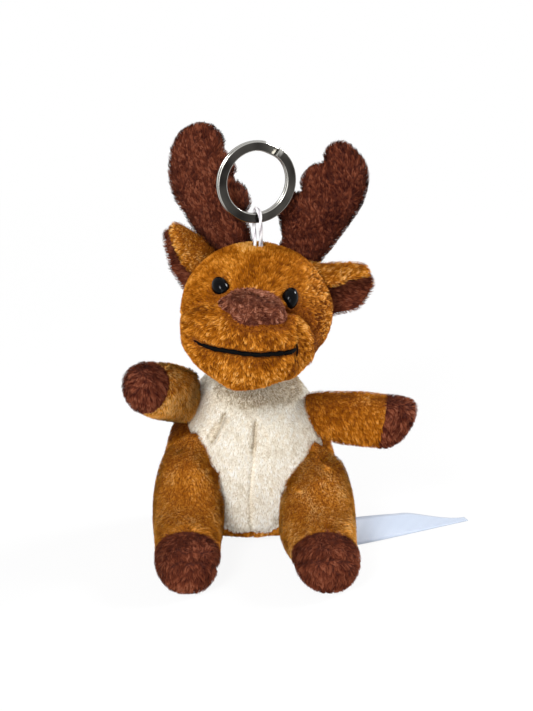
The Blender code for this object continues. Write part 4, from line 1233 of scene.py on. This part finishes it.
def earForm(side):
    v = earValues
    spine, near, far = (evenRoute(v[side][key], v["along"]) for key in ("spine", "near", "far"))
    share = np.linspace(0, 1, v["across"])[:, None, None]
    arch = np.sin(math.pi * share) * v["bulge"]
    nearFlap = near + (spine - near) * share - ahead * arch
    farFlap = spine + (far - spine) * share + ahead * arch
    rows = np.concatenate([nearFlap, farFlap[1:]])
    count, along = len(rows), v["along"]
    faces = [(r * along + i, r * along + i + 1, (r + 1) * along + i + 1, (r + 1) * along + i)
             for r in range(count - 1) for i in range(along - 1)]
    form = pieceFrom(f"earForm{side}", rows.reshape(-1, 3).tolist(), faces)
    middleTree = treeOfPiece(form)
    outer = np.array(form.data.polygons[along * 2].normal)
    sign = 1 if outer @ ahead < 0 else -1
    thick = form.modifiers.new("wall", "SOLIDIFY")
    thick.thickness, thick.offset = v["wall"], 0.0
    applyAll(form)

    def region(points):
        kinds = []
        for point in points:
            place, normal, _, _ = middleTree.find_nearest(point)
            kinds.append(0 if (Vector(point) - place).dot(normal) * sign > 0 else 1)
        return np.array(kinds)
    return form, region


for side, seed in (("left", 76), ("right", 86)):
    v = earValues
    form, region = earForm(side)
    dressPair(
        "ear", side, ("outer", "lining"), ("caramel", "brown"),
        boxMiddle(f"ear_{side}_outer") * np.array([2.0, 1.0, 1.0]), seed, filled=False, forms=[form.data],
        region=region, voxel=v["voxel"], rounds=2, curl=v["curl"], wavy=v["wavy"], inset=v["inset"],
        tint=v["tint"],
    )
    dropForm(form)
print("ears made")


# Face: two bead eyes and a stitched mouth
mouthValues = dict(
    radius=0.00072, sides=10, steps=40, thin=0.3, grow=2.6, endThin=0.8, endSteps=8, ply=0.12, twist=1.7,
    lift=0.0007, tick=0.00028, tickPixels=[(295.2, 343.5), (295.8, 349), (295.4, 355)], tickSteps=10,
)


def blackPlastic():
    made, tree, shader = newMaterial(
        "blackPlastic", Base_Color=(0.0015, 0.0015, 0.0018, 1), Roughness=0.08, Specular_IOR_Level=0.07,
    )
    roughen(tree, shader, objectNoise(tree, 1500.0), 0.05, 0.12)
    return made


# A domed bead that looks between the way of the cloth and the way of the camera
def buildEyes(v):
    plastic = blackPlastic()
    tree = treeOfPiece(headPad)
    for side in ("left", "right"):
        values = v[side]
        place = seenAt(tree, *values["pixel"])
        normal = tree.find_nearest(place)[1]
        out = (normal - cameraForward * v["forwards"]).normalized()
        across = (Vector((1, 0, 0)) - out * out.x).normalized()
        turn = Matrix((across, -out, out.cross(across) * -1)).transposed().to_4x4()
        turn = turn @ Matrix.Rotation(math.radians(values["tilt"]), 4, "Y")
        bpy.ops.mesh.primitive_uv_sphere_add(segments=40, ring_count=24, radius=1.0)
        piece = bpy.context.object
        piece.name = piece.data.name = f"eye{side.capitalize()}"
        sizes = Matrix.Diagonal((values["wide"], v["deep"], values["high"], 1))
        piece.data.transform(Matrix.Translation(place + out * v["proud"]) @ turn @ sizes)
        if turn.determinant() < 0:
            piece.data.flip_normals()
        bpy.ops.object.shade_smooth()
        piece.data.materials.append(plastic)
        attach(piece, "head")
        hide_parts(f"eye_{side}")


def buildMouth(v):
    tree = treeOfPiece(headPad)
    corners, faces, sides = [], [], v["sides"]

    def stitch(pixels, steps, radius, shareAt):
        pixels, first = np.array(pixels), len(corners)
        marks = np.linspace(0, len(pixels) - 1, steps)
        pixels = [[np.interp(mark, range(len(pixels)), pixels[:, k]) for k in (0, 1)] for mark in marks]
        line = smoothRoute(seenLine(tree, pixels), 1)
        route = [p + tree.find_nearest(p)[1] * v["lift"] for p in line]
        for i, here in enumerate(route):
            along = (route[min(i + 1, len(route) - 1)] - route[max(i - 1, 0)]).normalized()
            out = tree.find_nearest(here)[1]
            out = (out - out.dot(along) * along).normalized()
            other = along.cross(out)
            for j in range(sides):
                angle = 2 * math.pi * j / sides
                lobe = math.cos(2 * angle - i * v["twist"])
                reach = radius * shareAt(i, len(route)) * (1 - v["ply"] + v["ply"] * lobe)
                corners.append(here + (out * math.cos(angle) + other * math.sin(angle)) * reach)
        faces.extend(tubeFaces(first, len(route), sides))

    def thinning(i, count):
        return min(1.0, v["thin"] + i / count * v["grow"], v["endThin"] + (count - 1 - i) / v["endSteps"])
    stitch(headLines["mouth"], v["steps"], v["radius"], thinning)
    stitch(v["tickPixels"], v["tickSteps"], v["tick"], lambda i, count: 1.0)
    piece = pieceFrom("mouthStitch", corners, faces)
    rework(piece, faceOutwards)
    shadeSmooth(piece)
    made, tree, shader = newMaterial("blackThread", Roughness=0.7, Specular_IOR_Level=0.03)
    grain = objectNoise(tree, 3000.0)
    paint(tree, shader, grain, [(0.3, (0.0008, 0.0008, 0.0009)), (0.75, (0.004, 0.004, 0.0042))])
    bump(tree, shader, grain, 0.5, 0.0002)
    piece.data.materials.append(made)
    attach(piece, "head")
    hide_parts("mouth_stitch")


buildEyes(eyeValues)
buildMouth(mouthValues)
print("face made")


# Label: a blank satin ribbon that narrows. Its turns say how far along, its heading and its tilt.
labelValues = dict(
    root=(0.02992, -0.01521, 0.0004), width=0.0100, length=0.0420, wall=0.00025, steps=40, rows=8,
    taper=(0.55, 1.0), narrowed=0.75, marks=200,
    turns=[(0.0, 24, 36), (0.25, 27, 27), (0.5, 28, 17), (0.75, 28, 9), (1.0, 27, 3)],
)


def buildLabel(v):
    bpy.ops.mesh.primitive_grid_add(x_subdivisions=v["steps"], y_subdivisions=v["rows"], size=1.0)
    piece = bpy.context.object
    piece.name = piece.data.name = "labelRibbon"
    flat = cornersOf(piece) + np.array([0.5, 0.5, 0])
    at, headings, tilts = np.array(v["turns"], float).T
    fine = np.linspace(0, 1, v["marks"])
    heading = np.radians(np.interp(fine, at, headings))[:-1]
    runX, runY = (np.concatenate([[0], np.cumsum(part(heading))]) * v["length"] / (v["marks"] - 1)
                  for part in (np.cos, np.sin))
    along = flat[:, 0]
    across = flat[:, 1] * (1 - v["narrowed"] * rise(along, *v["taper"]))
    here, tilt = (np.radians(np.interp(along, at, angles)) for angles in (headings, tilts))
    places = np.stack([
        np.interp(along, fine, runX) - across * v["width"] * np.sin(here) * np.cos(tilt),
        np.interp(along, fine, runY) + across * v["width"] * np.cos(here) * np.cos(tilt),
        across * v["width"] * np.sin(tilt),
    ], 1)
    moveCorners(piece, places + np.array(v["root"]))
    thick = piece.modifiers.new("wall", "SOLIDIFY")
    thick.thickness, thick.offset = v["wall"], 0.0
    applyAll(piece)
    bpy.ops.object.shade_smooth()
    made, tree, shader = newMaterial(
        "whiteSatin", Roughness=0.42, Specular_IOR_Level=0.5, Sheen_Weight=0.2, Anisotropic=0.4,
    )
    weave = addNode(tree, "ShaderNodeTexWave", Scale=900.0, Distortion=1.5)
    tree.links.new(tree.nodes.new("ShaderNodeTexCoord").outputs["Object"], weave.inputs["Vector"])
    # the white satin is coloured a bluish grey darker than white: painted shade
    paint(tree, shader, weave.outputs["Fac"], [(0.2, (0.34, 0.40, 0.50)), (0.8, (0.50, 0.56, 0.67))])
    bump(tree, shader, weave.outputs["Fac"], 0.2, 0.0001)
    piece.data.materials.append(made)
    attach(piece, "label")
    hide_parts("care_label")


buildLabel(labelValues)
print("label made")


# Stage and light
stageValues = dict(
    floorSize=8.0, floorColour=(0.86, 0.86, 0.86), white=0.91, plainFrom=0.12, plainTo=0.40, ambient=0.30,
    keyPlace=(-0.36, -0.80, 0.66), keySize=0.34, keyPower=10.8,
    rimPlace=(0.62, 0.26, 0.45), rimSize=0.20, rimPower=6.0,
    fillPlace=(0.05, -0.90, 0.14), fillSize=0.6, fillPower=3.0,
)


def addLamp(name, place, size, power):
    bpy.ops.object.light_add(type="AREA", location=place)
    lamp = bpy.context.object
    lamp.name = name
    lamp.data.size, lamp.data.energy = size, power
    lamp.rotation_euler = (Vector((0, 0, 0.06)) - Vector(place)).to_track_quat("-Z", "Y").to_euler()


# A surface that the camera and shiny things see as nearly white, and that keeps its shadow
def whiteForCamera(tree):
    path = tree.nodes.new("ShaderNodeLightPath")
    seen = combine(tree, "MAXIMUM", path.outputs["Is Camera Ray"], path.outputs["Is Glossy Ray"])
    return combine(tree, "MAXIMUM", seen, path.outputs["Is Transmission Ray"])


def buildStage(v):
    bpy.ops.mesh.primitive_plane_add(size=v["floorSize"], location=(0, 0, 0))
    floor = bpy.context.object
    floor.name = floor.data.name = "floor"
    made, tree, shader = newMaterial("paleFloor", Roughness=0.9, Base_Color=(*v["floorColour"], 1))
    glow = addNode(tree, "ShaderNodeEmission", Color=(1, 1, 1, 1), Strength=1.0)
    mix = tree.nodes.new("ShaderNodeMixShader")
    # the shadow fades out round the object, so that floor and background are one white
    away = addNode(tree, "ShaderNodeVectorMath", operation="LENGTH")
    tree.links.new(tree.nodes.new("ShaderNodeTexCoord").outputs["Object"], away.inputs[0])
    plain = addNode(tree, "ShaderNodeMapRange", **{"From Min": v["plainFrom"], "From Max": v["plainTo"],
                                                   "To Min": v["white"], "To Max": 1.0})
    tree.links.new(away.outputs["Value"], plain.inputs["Value"])
    tree.links.new(combine(tree, "MULTIPLY", whiteForCamera(tree), plain.outputs[0]), mix.inputs[0])
    tree.links.new(shader.outputs[0], mix.inputs[1])
    tree.links.new(glow.outputs[0], mix.inputs[2])
    tree.links.new(mix.outputs[0], tree.nodes["Material Output"].inputs["Surface"])
    floor.data.materials.append(made)
    world = bpy.data.worlds.new("studio")
    world.use_nodes = True
    bpy.context.scene.world = world
    tree = world.node_tree
    back = tree.nodes["Background"]
    strength = combine(tree, "MULTIPLY", whiteForCamera(tree), 1.0 - v["ambient"])
    tree.links.new(combine(tree, "ADD", strength, v["ambient"]), back.inputs["Strength"])
    back.inputs["Color"].default_value = (1, 1, 1, 1)
    addLamp("keyLamp", v["keyPlace"], v["keySize"], v["keyPower"])
    addLamp("rimLamp", v["rimPlace"], v["rimSize"], v["rimPower"])
    addLamp("fillLamp", v["fillPlace"], v["fillSize"], v["fillPower"])


buildStage(stageValues)
bpy.context.scene.view_settings.view_transform = "Standard"
print("stage and lights set")
